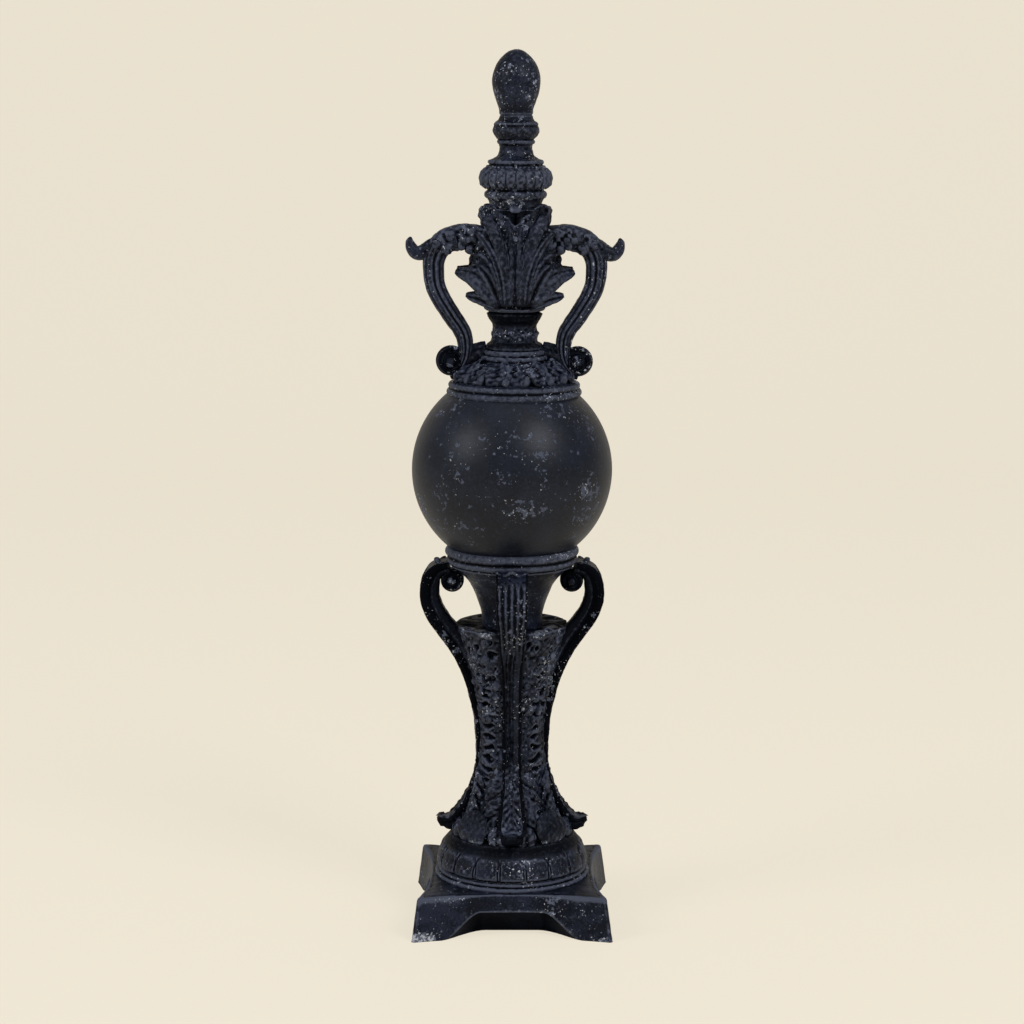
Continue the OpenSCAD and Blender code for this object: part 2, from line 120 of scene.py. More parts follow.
def flowing(points, step=0.8):
    """A smooth line through the points, with its own points about step apart."""
    p = np.array(points, float)
    ends = np.vstack([2 * p[0] - p[1], p, 2 * p[-1] - p[-2]])
    t = np.linspace(0, 1, 20, endpoint=False)[:, None]
    spans = [
        b + 0.5 * ((c - a) * t + (2 * a - 5 * b + 4 * c - d) * t ** 2 + (3 * b - a - 3 * c + d) * t ** 3)
        for a, b, c, d in zip(ends, ends[1:], ends[2:], ends[3:])
    ]
    return evenly(np.vstack(spans + [p[-1:]]), step)


def rough(p, size, seed=0):
    """Smooth random heights from -1 to 1 over the points p, with bumps about size mm apart."""
    q = p / size + 31.7 * (seed + 1)
    cell = np.floor(q).astype(np.int64)
    f = q - cell
    f = f * f * (3 - 2 * f)
    total = 0
    for corner in np.ndindex(2, 2, 2):
        c = cell + np.array(corner)
        mixed = c[..., 0] * 73856093 ^ c[..., 1] * 19349663 ^ c[..., 2] * 83492791
        mixed = (mixed ^ (mixed >> 13)) * 1274126177
        height = ((mixed ^ (mixed >> 16)) & 0xFFFF) / 32767.5 - 1
        share = np.prod([f[..., k] if corner[k] else 1 - f[..., k] for k in range(3)], axis=0)
        total = total + height * share
    return total


# ---- Grids, with their rows round the piece, and shells: points, faces and the two looks of each point ----

def outward(grid):
    """Direction away from the surface at each point."""
    around = np.roll(grid, -1, 1) - np.roll(grid, 1, 1)
    n = np.cross(around, np.gradient(grid, axis=0))
    return n / np.maximum(np.linalg.norm(n, axis=-1, keepdims=True), 1e-9)


def raised(grid, height):
    """The grid with each point moved outward by its height."""
    return grid + outward(grid) * np.broadcast_to(height, grid.shape[:2])[..., None]


def crest_of(grid, reach):
    """How far each point stands out from its neighbours: 1 on an edge, 0 on a flat, -1 in a crease."""
    up = np.concatenate([grid[reach:], np.repeat(grid[-1:], reach, 0)])
    down = np.concatenate([np.repeat(grid[:1], reach, 0), grid[:-reach]])
    beside = np.roll(grid, reach, 1) + np.roll(grid, -reach, 1)
    bend = grid - (up + down + beside) / 4
    flat = np.sum(bend * outward(grid), axis=-1)
    flat[:reach] = 0
    flat[-reach:] = 0
    return np.clip(flat / EDGE_BEND, -1, 1)


def shell(grid, wear_and_shade=0.0, rub=1.0, reach=2):
    """Closed shell over a grid, with a point in the middle of each end. Its looks are crest, which rub makes
    weaker on edges, and the wear and shade: 1 where the paint is off, and down to -1 deep in shelter, where
    the darkest shade is painted."""
    rows, cols = grid.shape[:2]
    j = np.arange(cols)
    k = np.roll(j, -1)
    base = np.arange(rows - 1)[:, None] * cols
    sides = np.stack([base + j, base + k, base + cols + k, base + cols + j], axis=-1).reshape(-1, 4)
    first = rows * cols
    last = (rows - 1) * cols
    ends = np.concatenate([
        np.stack([k, j, np.full(cols, first)], axis=1),
        np.stack([last + j, last + k, np.full(cols, first + 1)], axis=1),
    ])
    points = np.vstack([grid.reshape(-1, 3), grid[0].mean(0), grid[-1].mean(0)])
    crest = crest_of(grid, reach) * (1 + np.clip(wear_and_shade, -1, 0))
    crest = np.concatenate([np.where(crest > 0, rub * crest, crest).ravel(), [0, 0]])
    wear_and_shade = np.concatenate([np.broadcast_to(wear_and_shade, (rows, cols)).ravel(), [0, 0]])
    return points, [*sides.tolist(), *ends.tolist()], np.stack([crest, wear_and_shade], axis=1)


def round_grid(radius, angle, height):
    """Grid about the Z axis."""
    return np.stack([radius * np.cos(angle), radius * np.sin(angle), height + 0 * angle], axis=-1)


def turned(profile, columns, carve=None, step=0.7, wear_and_shade=None):
    """Shell turned from a profile of (radius, height) points. carve(angle, height, grid) raises its surface,
    and the function given last, of the grid, says where its paint is off and where shade is painted on it."""
    line = evenly(np.array(profile, float), step)
    angle = np.linspace(0, TAU, columns, endpoint=False)[None, :]
    grid = round_grid(line[:, :1], angle, line[:, 1:])
    if carve:
        grid = raised(grid, carve(angle, grid[..., 2], grid))
    return shell(grid, wear_and_shade(grid) if wear_and_shade else 0.0)


def swept(path, section):
    """Grid along a path of (x, z) points. section gives (out, across) for each point of each ring,
    where out is away from the path's left side and across is along Y."""
    ahead = np.gradient(path, axis=0)
    ahead /= np.linalg.norm(ahead, axis=1, keepdims=True)
    side = np.stack([-ahead[:, 1], ahead[:, 0]], axis=1)
    out, across = section
    return np.stack([
        path[:, :1] + side[:, :1] * out,
        across,
        path[:, 1:] + side[:, 1:] * out,
    ], axis=-1)


def frond(spine, width, thick, vein=0.35, facing=None, grain=0.25, seed=0, columns=18, tip=0.985):
    """Grid of one carved leaf along a spine of (x, y, z) points: broad near its root, pointed at its tip or
    blunt where tip is less. A vein is sunk in its face, which looks away from the axis or as facing says."""
    line = flowing(spine, 0.8)
    share = np.linspace(0, 1, len(line))[:, None]
    ahead = np.gradient(line, axis=0)
    ahead /= np.linalg.norm(ahead, axis=1, keepdims=True)
    out = line * (1, 1, 0) if facing is None else np.tile(np.array(facing, float), (len(line), 1))
    out = out / np.linalg.norm(out, axis=1, keepdims=True)
    out = out - ahead * np.sum(out * ahead, axis=1, keepdims=True)
    out /= np.linalg.norm(out, axis=1, keepdims=True)
    side = np.cross(out, ahead)
    a = np.linspace(0, TAU, columns, endpoint=False)[None, :]
    plump = np.sqrt(np.sin(np.pi * lerp(0.14, tip, share)))
    across = width * plump * np.cos(a)
    sunk = 1 - vein * bell(np.cos(a), 0.26) * (np.sin(a) > 0)
    up = thick * plump * np.sin(a) * sunk
    grid = line[:, None] + side[:, None] * across[..., None] + out[:, None] * up[..., None]
    return raised(grid, grain * (rough(grid, 1.9, seed) + 0.5 * rough(grid, 1.0, seed + 1)))


def mirrored(grid, x=1, y=1):
    """The same grid on the other side of the X or Y axis, or of both."""
    other = grid * (x, y, 1)
    return other if x * y > 0 else other[:, ::-1]


def together(*shells):
    """One shell made of several."""
    points, faces, looks = [], [], []
    start = 0
    for some_points, some_faces, some_looks in shells:
        points.append(some_points)
        faces.extend([[i + start for i in face] for face in some_faces])
        looks.append(some_looks)
        start += len(some_points)
    return np.vstack(points), faces, np.vstack(looks)


def leaning(points):
    """Points of the crown, from its own axis to where it stands on the ball."""
    x, y, z = points[:, 0], points[:, 1], points[:, 2] - COLLAR_Z
    c, s = math.cos(CROWN_LEAN), math.sin(CROWN_LEAN)
    return np.stack([x * c + z * s + CROWN_SHIFT, y, z * c - x * s + COLLAR_Z], axis=1)


def cast(name, whole_shell, crown=False):
    """Blender object of a shell, its faces pointing outwards."""
    points, faces, looks = whole_shell
    if crown:
        points = leaning(points)
    points = points + np.array([ball_mid[0], ball_mid[1], 0])
    mesh = bpy.data.meshes.new(name)
    mesh.from_pydata((points * MM).tolist(), [], faces)
    for k, look in enumerate(("crest", "wear_and_shade")):
        mesh.attributes.new(look, "FLOAT", "POINT").data.foreach_set("value", looks[:, k].astype(np.float32))
    work = bmesh.new()
    work.from_mesh(mesh)
    bmesh.ops.remove_doubles(work, verts=work.verts, dist=0.002 * MM)
    bmesh.ops.recalc_face_normals(work, faces=work.faces)
    work.to_mesh(mesh)
    work.free()
    mesh.shade_smooth()
    made_object = bpy.data.objects.new(name, mesh)
    bpy.context.scene.collection.objects.link(made_object)
    return made_object


# ---- Rings of equal pieces, by Geometry Nodes ----

def add(tree, kind, inputs=None, **settings):
    """Adds a node to a tree, with its settings and with a value or a link for each input."""
    made = tree.nodes.new(kind)
    for key, value in settings.items():
        setattr(made, key, value)
    for key, value in (inputs or {}).items():
        if isinstance(value, bpy.types.NodeSocket):
            tree.links.new(value, made.inputs[key])
        else:
            made.inputs[key].default_value = value
    return made


def ring_tree():
    """Copies of a master piece round the finial's axis, each a little larger or smaller than the next."""
    tree = bpy.data.node_groups.new("ring of pieces", "GeometryNodeTree")
    for name, kind in (
        ("Master", "NodeSocketObject"),
        ("Count", "NodeSocketInt"),
        ("First angle", "NodeSocketFloat"),
        ("Unevenness", "NodeSocketFloat"),
        ("Finish", "NodeSocketMaterial"),
    ):
        tree.interface.new_socket(name, in_out="INPUT", socket_type=kind)
    tree.interface.new_socket("Geometry", in_out="OUTPUT", socket_type="NodeSocketGeometry")
    given = add(tree, "NodeGroupInput").outputs
    master = add(tree, "GeometryNodeObjectInfo", {"Object": given["Master"]})
    points = add(tree, "GeometryNodePoints", {"Count": given["Count"]})
    index = add(tree, "GeometryNodeInputIndex")
    pitch = add(tree, "ShaderNodeMath", {0: TAU, 1: given["Count"]}, operation="DIVIDE")
    turn = add(tree, "ShaderNodeMath", {
        0: index.outputs[0], 1: pitch.outputs[0], 2: given["First angle"],
    }, operation="MULTIPLY_ADD")
    angles = add(tree, "ShaderNodeCombineXYZ", {"Z": turn.outputs[0]})
    rotation = add(tree, "FunctionNodeEulerToRotation", {0: angles.outputs[0]})
    uneven = add(tree, "FunctionNodeRandomValue", {2: -1.0, 3: 1.0, "Seed": 5}, data_type="FLOAT")
    size = add(tree, "ShaderNodeMath", {
        0: uneven.outputs[1], 1: given["Unevenness"], 2: 1.0,
    }, operation="MULTIPLY_ADD")
    # Only sideways, because a master stands far above its own origin
    scale = add(tree, "ShaderNodeCombineXYZ", {"X": size.outputs[0], "Y": size.outputs[0], "Z": 1.0})
    placed = add(tree, "GeometryNodeInstanceOnPoints", {
        "Points": points.outputs[0],
        "Instance": master.outputs["Geometry"],
        "Rotation": rotation.outputs[0],
        "Scale": scale.outputs[0],
    })
    real = add(tree, "GeometryNodeRealizeInstances", {"Geometry": placed.outputs[0]})
    painted = add(tree, "GeometryNodeSetMaterial", {
        "Geometry": real.outputs[0], "Material": given["Finish"],
    })
    add(tree, "NodeGroupOutput", {"Geometry": painted.outputs[0]})
    return tree


RING = ring_tree()


def ring_of(name, master, count, finish, first=0.0, unevenness=0.0):
    """One plain mesh of count copies of the master round the axis. The master itself goes."""
    host = bpy.data.objects.new(name, bpy.data.meshes.new(name))
    bpy.context.scene.collection.objects.link(host)
    ring = host.modifiers.new("ring", "NODES")
    ring.node_group = RING
    wanted = {
        "Master": master, "Count": count, "First angle": first, "Unevenness": unevenness, "Finish": finish,
    }
    for item in RING.interface.items_tree:
        if item.in_out == "INPUT":
            ring[item.identifier] = wanted[item.name]
    view = bpy.context.evaluated_depsgraph_get()
    mesh = bpy.data.meshes.new_from_object(host.evaluated_get(view))
    host.modifiers.remove(ring)
    host.data = mesh
    bpy.data.objects.remove(master)
    return host


def lean_mesh(piece):
    """Sets a ringed piece of the crown, made about its own axis, where the crown stands."""
    count = len(piece.data.vertices)
    flat = np.empty(3 * count, np.float32)
    piece.data.vertices.foreach_get("co", flat)
    points = leaning(flat.reshape(-1, 3).astype(float) / MM) * MM
    piece.data.vertices.foreach_set("co", points.astype(np.float32).ravel())
    piece.data.update()


# ---- Finishes ----

def colour(text):
    """Linear colour of an sRGB hex value."""
    channels = [int(text[i:i + 2], 16) / 255 for i in (1, 3, 5)]
    return [c / 12.92 if c <= 0.04045 else ((c + 0.055) / 1.055) ** 2.4 for c in channels] + [1.0]


def painted_resin(name, base, cloud, chip, speck, chips, specks, rub, grit, gloss):
    """Cast polyresin under a matt blue-black paint, brushed on and then rubbed back by hand. To the eye, the
    edges and the tops of the relief are grey, and chips and white specks of the ground show through. Shade
    is
    painted into the colour: creases, hollows and sheltered places are darkened towards near-black. Fine
    powder in the paint takes away most of the gloss of a smooth coat."""
    material = bpy.data.materials.new(name)
    material.use_nodes = True
    tree = material.node_tree
    tree.nodes.clear()
    place = add(tree, "ShaderNodeTexCoord").outputs["Object"]
    mm = add(tree, "ShaderNodeVectorMath", {0: place, 3: 1 / MM}, operation="SCALE").outputs[0]
    crest = add(tree, "ShaderNodeAttribute", attribute_name="crest").outputs["Fac"]
    wear_and_shade = add(tree, "ShaderNodeAttribute", attribute_name="wear_and_shade").outputs["Fac"]
    # Sizes in mm: worn patches, clouds of the brushed coat, dimples, chips, rubbing, specks, powder and grit
    grain = {}
    for use, size, detail, roughness in (
        ("patch", 26, 2, 0.5), ("cloud", 15, 3, 0.5), ("dimple", 3, 3, 0.5), ("chip", 4.2, 5, 0.62),
        ("rub", 2.2, 4, 0.65), ("speck", 1.5, 3, 0.6), ("powder", 1.1, 3, 0.7), ("grit", 0.7, 3, 0.7),
    ):
        grain[use] = add(tree, "ShaderNodeTexNoise", {
            "Vector": mm, "Scale": 1 / size, "Detail": detail, "Roughness": roughness,
        }).outputs["Fac"]
    patch = add(tree, "ShaderNodeMapRange", {
        "Value": grain["patch"], "From Min": 0.46, "From Max": 0.66,
    }, interpolation_type="SMOOTHSTEP").outputs[0]
    # Chips and specks: mostly in the worn patches, and close together where the paint is off
    lifted = add(tree, "ShaderNodeMath", {0: patch, 1: 0.10, 2: grain["chip"]}, operation="MULTIPLY_ADD")
    lifted = add(tree, "ShaderNodeMath", {0: wear_and_shade, 1: 0.30, 2: lifted.outputs[0]}, operation="MULTIPLY_ADD")
    flaked = add(tree, "ShaderNodeMapRange", {
        "Value": lifted.outputs[0], "From Min": chips, "From Max": chips + 0.03,
    }, interpolation_type="SMOOTHSTEP").outputs[0]
    # Round flakes up to about 3 mm across, each of its own size
    cells = add(tree, "ShaderNodeTexVoronoi", {"Vector": mm, "Scale": 1 / 4.6})
    own = add(tree, "ShaderNodeSeparateColor", {0: cells.outputs["Color"]}).outputs[0]
    round_one = add(tree, "ShaderNodeMath", {0: own, 1: 0.5, 2: lifted.outputs[0]}, operation="MULTIPLY_ADD")
    away = add(tree, "ShaderNodeMath", {
        0: round_one.outputs[0], 1: cells.outputs["Distance"],
    }, operation="SUBTRACT")
    dot = add(tree, "ShaderNodeMapRange", {
        "Value": away.outputs[0], "From Min": chips + 0.15, "From Max": chips + 0.20,
    }, interpolation_type="SMOOTHSTEP").outputs[0]
    chipped = add(tree, "ShaderNodeMath", {0: flaked, 1: dot}, operation="MAXIMUM").outputs[0]
    dotted = add(tree, "ShaderNodeMath", {0: patch, 1: 0.07, 2: grain["speck"]}, operation="MULTIPLY_ADD")
    dotted = add(tree, "ShaderNodeMath", {0: wear_and_shade, 1: 0.24, 2: dotted.outputs[0]}, operation="MULTIPLY_ADD")
    specked = add(tree, "ShaderNodeMapRange", {
        "Value": dotted.outputs[0], "From Min": specks, "From Max": specks + 0.04,
    }, interpolation_type="SMOOTHSTEP").outputs[0]
    # Edges and the tops of the relief rubbed grey, unevenly
    edges = add(tree, "ShaderNodeMath", {0: grain["rub"], 1: 1.2, 2: crest}, operation="MULTIPLY_ADD")
    worn = add(tree, "ShaderNodeMapRange", {
        "Value": edges.outputs[0], "From Min": 0.62, "From Max": 1.35, "To Max": rub,
    }, interpolation_type="SMOOTHSTEP").outputs[0]
    # The brushed coat: soft clouds of some 15 mm, with powder of about a millimetre in them
    streaks = add(tree, "ShaderNodeMath", {
        0: grain["powder"], 1: 0.8, 2: grain["cloud"],
    }, operation="MULTIPLY_ADD")
    cloudy = add(tree, "ShaderNodeMapRange", {
        "Value": streaks.outputs[0], "From Min": 0.78, "From Max": 1.08,
    }, interpolation_type="SMOOTHSTEP").outputs[0]
    # Painted shade: creases in the relief, and places with a negative wear-and-shade value, are darkened
    # towards #07080b
    crease_shade = add(tree, "ShaderNodeMapRange", {
        "Value": crest, "From Min": -0.03, "From Max": -0.5, "To Max": 0.9,
    }, interpolation_type="SMOOTHSTEP").outputs[0]
    shelter_shade = add(tree, "ShaderNodeMapRange", {
        "Value": wear_and_shade, "From Min": 0.0, "From Max": -1.0, "To Max": 0.95,
    }, interpolation_type="SMOOTHSTEP").outputs[0]
    painted_shade = add(tree, "ShaderNodeMath", {0: crease_shade, 1: shelter_shade}, operation="MAXIMUM").outputs[0]
    look = colour(base)
    for share, over in (
        (cloudy, cloud), (painted_shade, "#07080b"), (worn, chip), (chipped, chip), (specked, speck),
    ):
        look = add(tree, "ShaderNodeMix", {0: share, 6: look, 7: colour(over)}, data_type="RGBA").outputs[2]
    # Cast surface: soft dimples and brush grit, with the chips a little lower than the coat
    relief = add(tree, "ShaderNodeMath", {0: grain["dimple"], 1: 0.5, 2: 0.0}, operation="MULTIPLY_ADD")
    relief = add(tree, "ShaderNodeMath", {
        0: grain["grit"], 1: grit, 2: relief.outputs[0],
    }, operation="MULTIPLY_ADD")
    relief = add(tree, "ShaderNodeMath", {
        0: chipped, 1: -0.25, 2: relief.outputs[0],
    }, operation="MULTIPLY_ADD")
    bump = add(tree, "ShaderNodeBump", {"Strength": 0.4, "Distance": 0.5 * MM, "Height": relief.outputs[0]})
    dull = add(tree, "ShaderNodeMath", {0: chipped, 1: worn}, operation="MAXIMUM")
    sheen = add(tree, "ShaderNodeMapRange", {"Value": dull.outputs[0], "To Min": 0.42, "To Max": 0.7})
    # Where shade is painted, the last of the gloss goes as well
    level = add(tree, "ShaderNodeMapRange", {"Value": painted_shade, "To Min": gloss, "To Max": 0.0})
    surface = add(tree, "ShaderNodeBsdfPrincipled", {
        "Base Color": look,
        "Roughness": sheen.outputs[0],
        "IOR": 1.5,
        "Specular IOR Level": level.outputs[0],
        "Normal": bump.outputs[0],
    })
    add(tree, "ShaderNodeOutputMaterial", {"Surface": surface.outputs[0]})
    return material


CASTING = painted_resin(
    "brushed paint on cast resin", "#0b0f1a", "#212635", "#585d6c", "#b4b6b9",
    chips=0.665, specks=0.69, rub=0.64, grit=0.9, gloss=0.13,
)
BALL_COAT = painted_resin(
    "smooth paint on the resin ball", "#0b0f19", "#131824", "#474c5a", "#a9abae",
    chips=0.675, specks=0.735, rub=0.3, grit=0.25, gloss=0.25,
)


# ---- Pedestal ----

def plinth_shell():
    """Plinth with bowed, sloping sides, a cove between its feet and a scribed line inside its top edge."""
    side = np.linspace(-1, 1, 120)
    corner = np.linspace(0, 1, 9)[1:-1]
    top_rows = np.linspace(0, 1, 14)
    wall_rows = np.linspace(0, 1, 16)[1:]
    cove_rows = np.linspace(0, 1, 18)[1:]
    # The top runs in under the cushion, and the underside ends in a flat square
    under_cushion = 38
    square_half = 35

    def outline(s, z):
        half = PLINTH_HALF - PLINTH_BATTER * z / PLINTH_H
        reach = half - CORNER_R
        if s > 1:
            turn = (s - 2) * math.pi / 2
            return np.array([reach + CORNER_R * math.sin(turn), -reach - CORNER_R * math.cos(turn)])
        return np.array([s * reach, -half + PLINTH_BOW * (1 - abs(s) ** 2.2)])

    columns = []
    for s in (*side, *(2 + corner)):
        x = outline(s, 0)[0]
        arch = COVE_R * (1 - smoothstep(COVE_FLAT, COVE_END, abs(x))) if s <= 1 else 0.0
        edge = outline(s, PLINTH_H)
        start = under_cushion * edge / np.linalg.norm(edge)
        line = [[*lerp(start, edge, t), PLINTH_H] for t in top_rows]
        for t in wall_rows:
            z = lerp(PLINTH_H, arch, t)
            line.append([*outline(s, z), z])
        lip = outline(s, arch)
        inner = lip * square_half / max(abs(lip[0]), abs(lip[1]))
        for t in cove_rows:
            a = math.pi / 2 * min(t / 0.7, 1)
            under = lip + np.array([0, arch * math.sin(a)])
            line.append([*lerp(under, inner, max(0, t / 0.3 - 7 / 3)), arch * math.cos(a)])
        columns.append(line)
    quarter = np.array(columns)
    whole = []
    for turn in range(4):
        a = turn * math.pi / 2
        spin = np.array([[math.cos(a), math.sin(a), 0], [-math.sin(a), math.cos(a), 0], [0, 0, 1]])
        whole.append(quarter @ spin)
    grid = np.concatenate(whole).transpose(1, 0, 2)
    grid[1:-1] = 0.5 * grid[1:-1] + 0.25 * (grid[:-2] + grid[2:])
    scribed = np.zeros(grid.shape[:2])
    scribed[len(top_rows) - 3] = -0.4
    scratches = 0.14 * rough(grid * (0.12, 1, 1), 1.1, 9) * (grid[..., 2] > PLINTH_H - 0.5)
    height = scribed + scratches + 0.12 * rough(grid, 4) * (grid[..., 2] > 0.5) - 0.14
    height[0] = 0
    grid = raised(grid[::-1], height[::-1])
    grid[..., 2] = np.maximum(grid[..., 2], 0)
    # Two feet are worn to the white ground along their lower edges, the front left one most
    x, y, z = np.moveaxis(grid, -1, 0)
    front = y < -45
    left_foot = smoothstep(38, 48, -x) * smoothstep(7.5, 2, z) * front
    right_foot = 0.45 * smoothstep(40, 52, x) * smoothstep(5, 1, z) * front
    arch_edge = bell(z - COVE_R, 1.0) * (np.abs(x) < COVE_FLAT + 6) * (y > -52) * front
    # Painted shade in the cove between the feet, and a little over the top face
    under = np.arange(len(grid))[:, None] < len(cove_rows) - 1
    wear_and_shade = np.clip(left_foot + right_foot + 0.3 * arch_edge, 0, 1)
    return shell(grid, wear_and_shade - 0.3 * (z > PLINTH_H - 0.6) - 0.6 * under)


def cushion_shell():
    """Two thin steps and a cushion of petals, with a pair of fine lines between each two."""
    profile = np.vstack([
        [[30, PLINTH_H - 1], [44.2, PLINTH_H - 1]],
        arc(43.6, PLINTH_H + 0.9, 1.3, -60, 70),
        [[42.6, PLINTH_H + 2.3]],
        arc(42.0, PLINTH_H + 3.4, 1.1, -40, 60),
        [[41.2, 29.6]],
        flowing([
            (42.4, 29.8), (43.8, 32.0), (43.7, 35), (42.5, 38.6), (40.8, 43), (38.8, 46.4), (35.6, 49.2),
            (32.6, 50.3), (29, 50.2),
        ]),
        [[24, 49.4]],
    ])

    def petals(angle, height, grid):
        pitch = TAU / PETALS
        turn = angle / pitch + 0.5
        edge = np.abs(turn - np.floor(turn + 0.5)) * pitch * CUSHION_R
        edge = edge + 0.35 * rough(grid, 5, 3)
        top = 43.4 - 2.4 * np.clip(edge / 6.4, 0, 1) ** 4
        inside = smoothstep(7.0, 6.3, edge) * smoothstep(30.4, 31.6, height)
        inside = inside * smoothstep(top + 1.8, top - 1.6, height)
        swell = inside * (1 - 0.3 * (edge / 6.5) ** 2)
        lines = 0.8 * bell(edge - 7.5, 0.25) * smoothstep(30.6, 32, height) * smoothstep(44.5, 42, height)
        return swell + lines - 0.85 + 0.14 * rough(grid, 2.2) + 0.1 * rough(grid, 1.1, 6)

    def carve(angle, height, grid):
        steps = 0.16 * rough(grid, 1.8) + 0.12 * rough(grid, 5, 7)
        return np.where((height > 30) & (height < 48.6), petals(angle, height, grid), steps)

    def wear_and_shade(grid):
        z = grid[..., 2]
        step = smoothstep(29.6, 28.6, z) * smoothstep(24.6, 25.6, z)
        lines = smoothstep(30, 31, z) * smoothstep(47, 44, z)
        flaked = (0.25 * step + 0.05 * lines) * smoothstep(-0.3, 0.5, rough(grid, 9, 2))
        # Painted shade over the top of the cushion, under the foot of the shaft
        return flaked - 0.75 * smoothstep(42.5, 45, z)

    return turned(profile, 620, carve, wear_and_shade=wear_and_shade)


SHAFT_SIDE = [
    (33.0, SHAFT_Z), (31.8, 55), (26.7, 65), (22.6, 79.4), (19.2, 103.4), (20, 121), (23.2, 140.2),
    (28.1, 159.4), (31.6, RIM_Z),
]


def from_strap(angle):
    """Angle to the nearest of the four straps."""
    quarter = TAU / 4
    return np.abs(angle / quarter - np.round(angle / quarter)) * quarter


def shaft_shell():
    """Ground of the shaft: sunk behind its leaves below, a knobbly mass of leaf with deep pits above, nearly
    flush with the straps, and a flat ruffled ledge at the top, worn pale over the middle of each panel.
    Shade is painted on the rest of the ledge and in close to the vase."""
    side = flowing(SHAFT_SIDE, 0.7)
    angle = np.linspace(0, TAU, 440, endpoint=False)[None, :]
    radius = side[:, :1]
    grid = round_grid(radius, angle, side[:, 1:])
    height = grid[..., 2]
    off = from_strap(angle)
    beside = smoothstep(math.radians(19), math.radians(13), off)
    mass = smoothstep(80, 96, height)
    pits = smoothstep(0.30, 0.62, rough(grid * (1, 1, 1.3), 3.9, 21))
    carved = lerp(-2.0, 0.3, mass) + lerp(0.5, 0.6, mass) * rough(grid, 3.4) + 0.4 * rough(grid, 1.6, 2)
    carved = carved - 2.6 * pits * mass * (1 - beside) * smoothstep(104, 140, height)
    # Short slanted holes between the leaves, in a column beside every strap
    aside = (TAU / 8 - off) * radius
    pitch = 6.3
    step = (height + 1.9 * rough(grid, 5, 22) - 84) / pitch
    hole = bell(aside - 1.5 * rough(grid, 6, 24), 4.8) * bell((step - np.round(step)) * pitch, 1.7)
    hole = smoothstep(0.28, 0.75, hole * (1 + 0.8 * rough(grid, 2.6, 23)))
    hole = hole * smoothstep(80, 86, height) * smoothstep(160, 132, height)
    carved = carved - 2.6 * hole
    carved = lerp(carved, 0.3 * rough(grid, 2.4, 3) - 0.3, 0.75 * beside)
    ledge = smoothstep(RIM_Z - 6.0, RIM_Z - 3.5, height)
    fat = 1.4 * np.sqrt(np.clip(1 - ((height - RIM_Z + 2.4) / 3.6) ** 2, 0, 1))
    carved = lerp(carved, fat + 0.8 * rough(grid, 5.0, 4) + 0.5 * rough(grid, 2.2, 5) - 0.6, ledge)
    grid = raised(grid, carved)
    last = grid[-1]
    top = []
    in_the_vase = 12.5
    for t in (0.08, 0.2, 0.35, 0.5, 0.65, 0.8, 1):
        ring = last.copy()
        ring[:, :2] *= lerp(1, in_the_vase / np.linalg.norm(last[:, :2], axis=1, keepdims=True), t)
        ring[:, 2] = RIM_Z + 1.3 * rough(ring, 5.0, 6) + 0.9 * rough(ring, 2.2, 7) - 0.8
        top.append(ring)
    grid = np.concatenate([grid, np.array(top)])
    reach = np.hypot(grid[..., 0], grid[..., 1])
    diagonal = smoothstep(0.45, 0.8, np.abs(np.sin(2 * angle)))
    high = smoothstep(RIM_Z - 5.5, RIM_Z - 1.8, grid[..., 2])
    worn = high * smoothstep(21, 26, reach) * diagonal
    # Painted shade: the ledge beside the straps and in close to the vase
    shelter_shade = high * np.maximum(smoothstep(27, 22, reach), 1 - diagonal)
    wear_and_shade = 0.45 * worn * smoothstep(-0.4, 0.4, rough(grid, 7, 8)) - 0.9 * shelter_shade * (1 - worn)
    return shell(grid, wear_and_shade, rub=0.7)


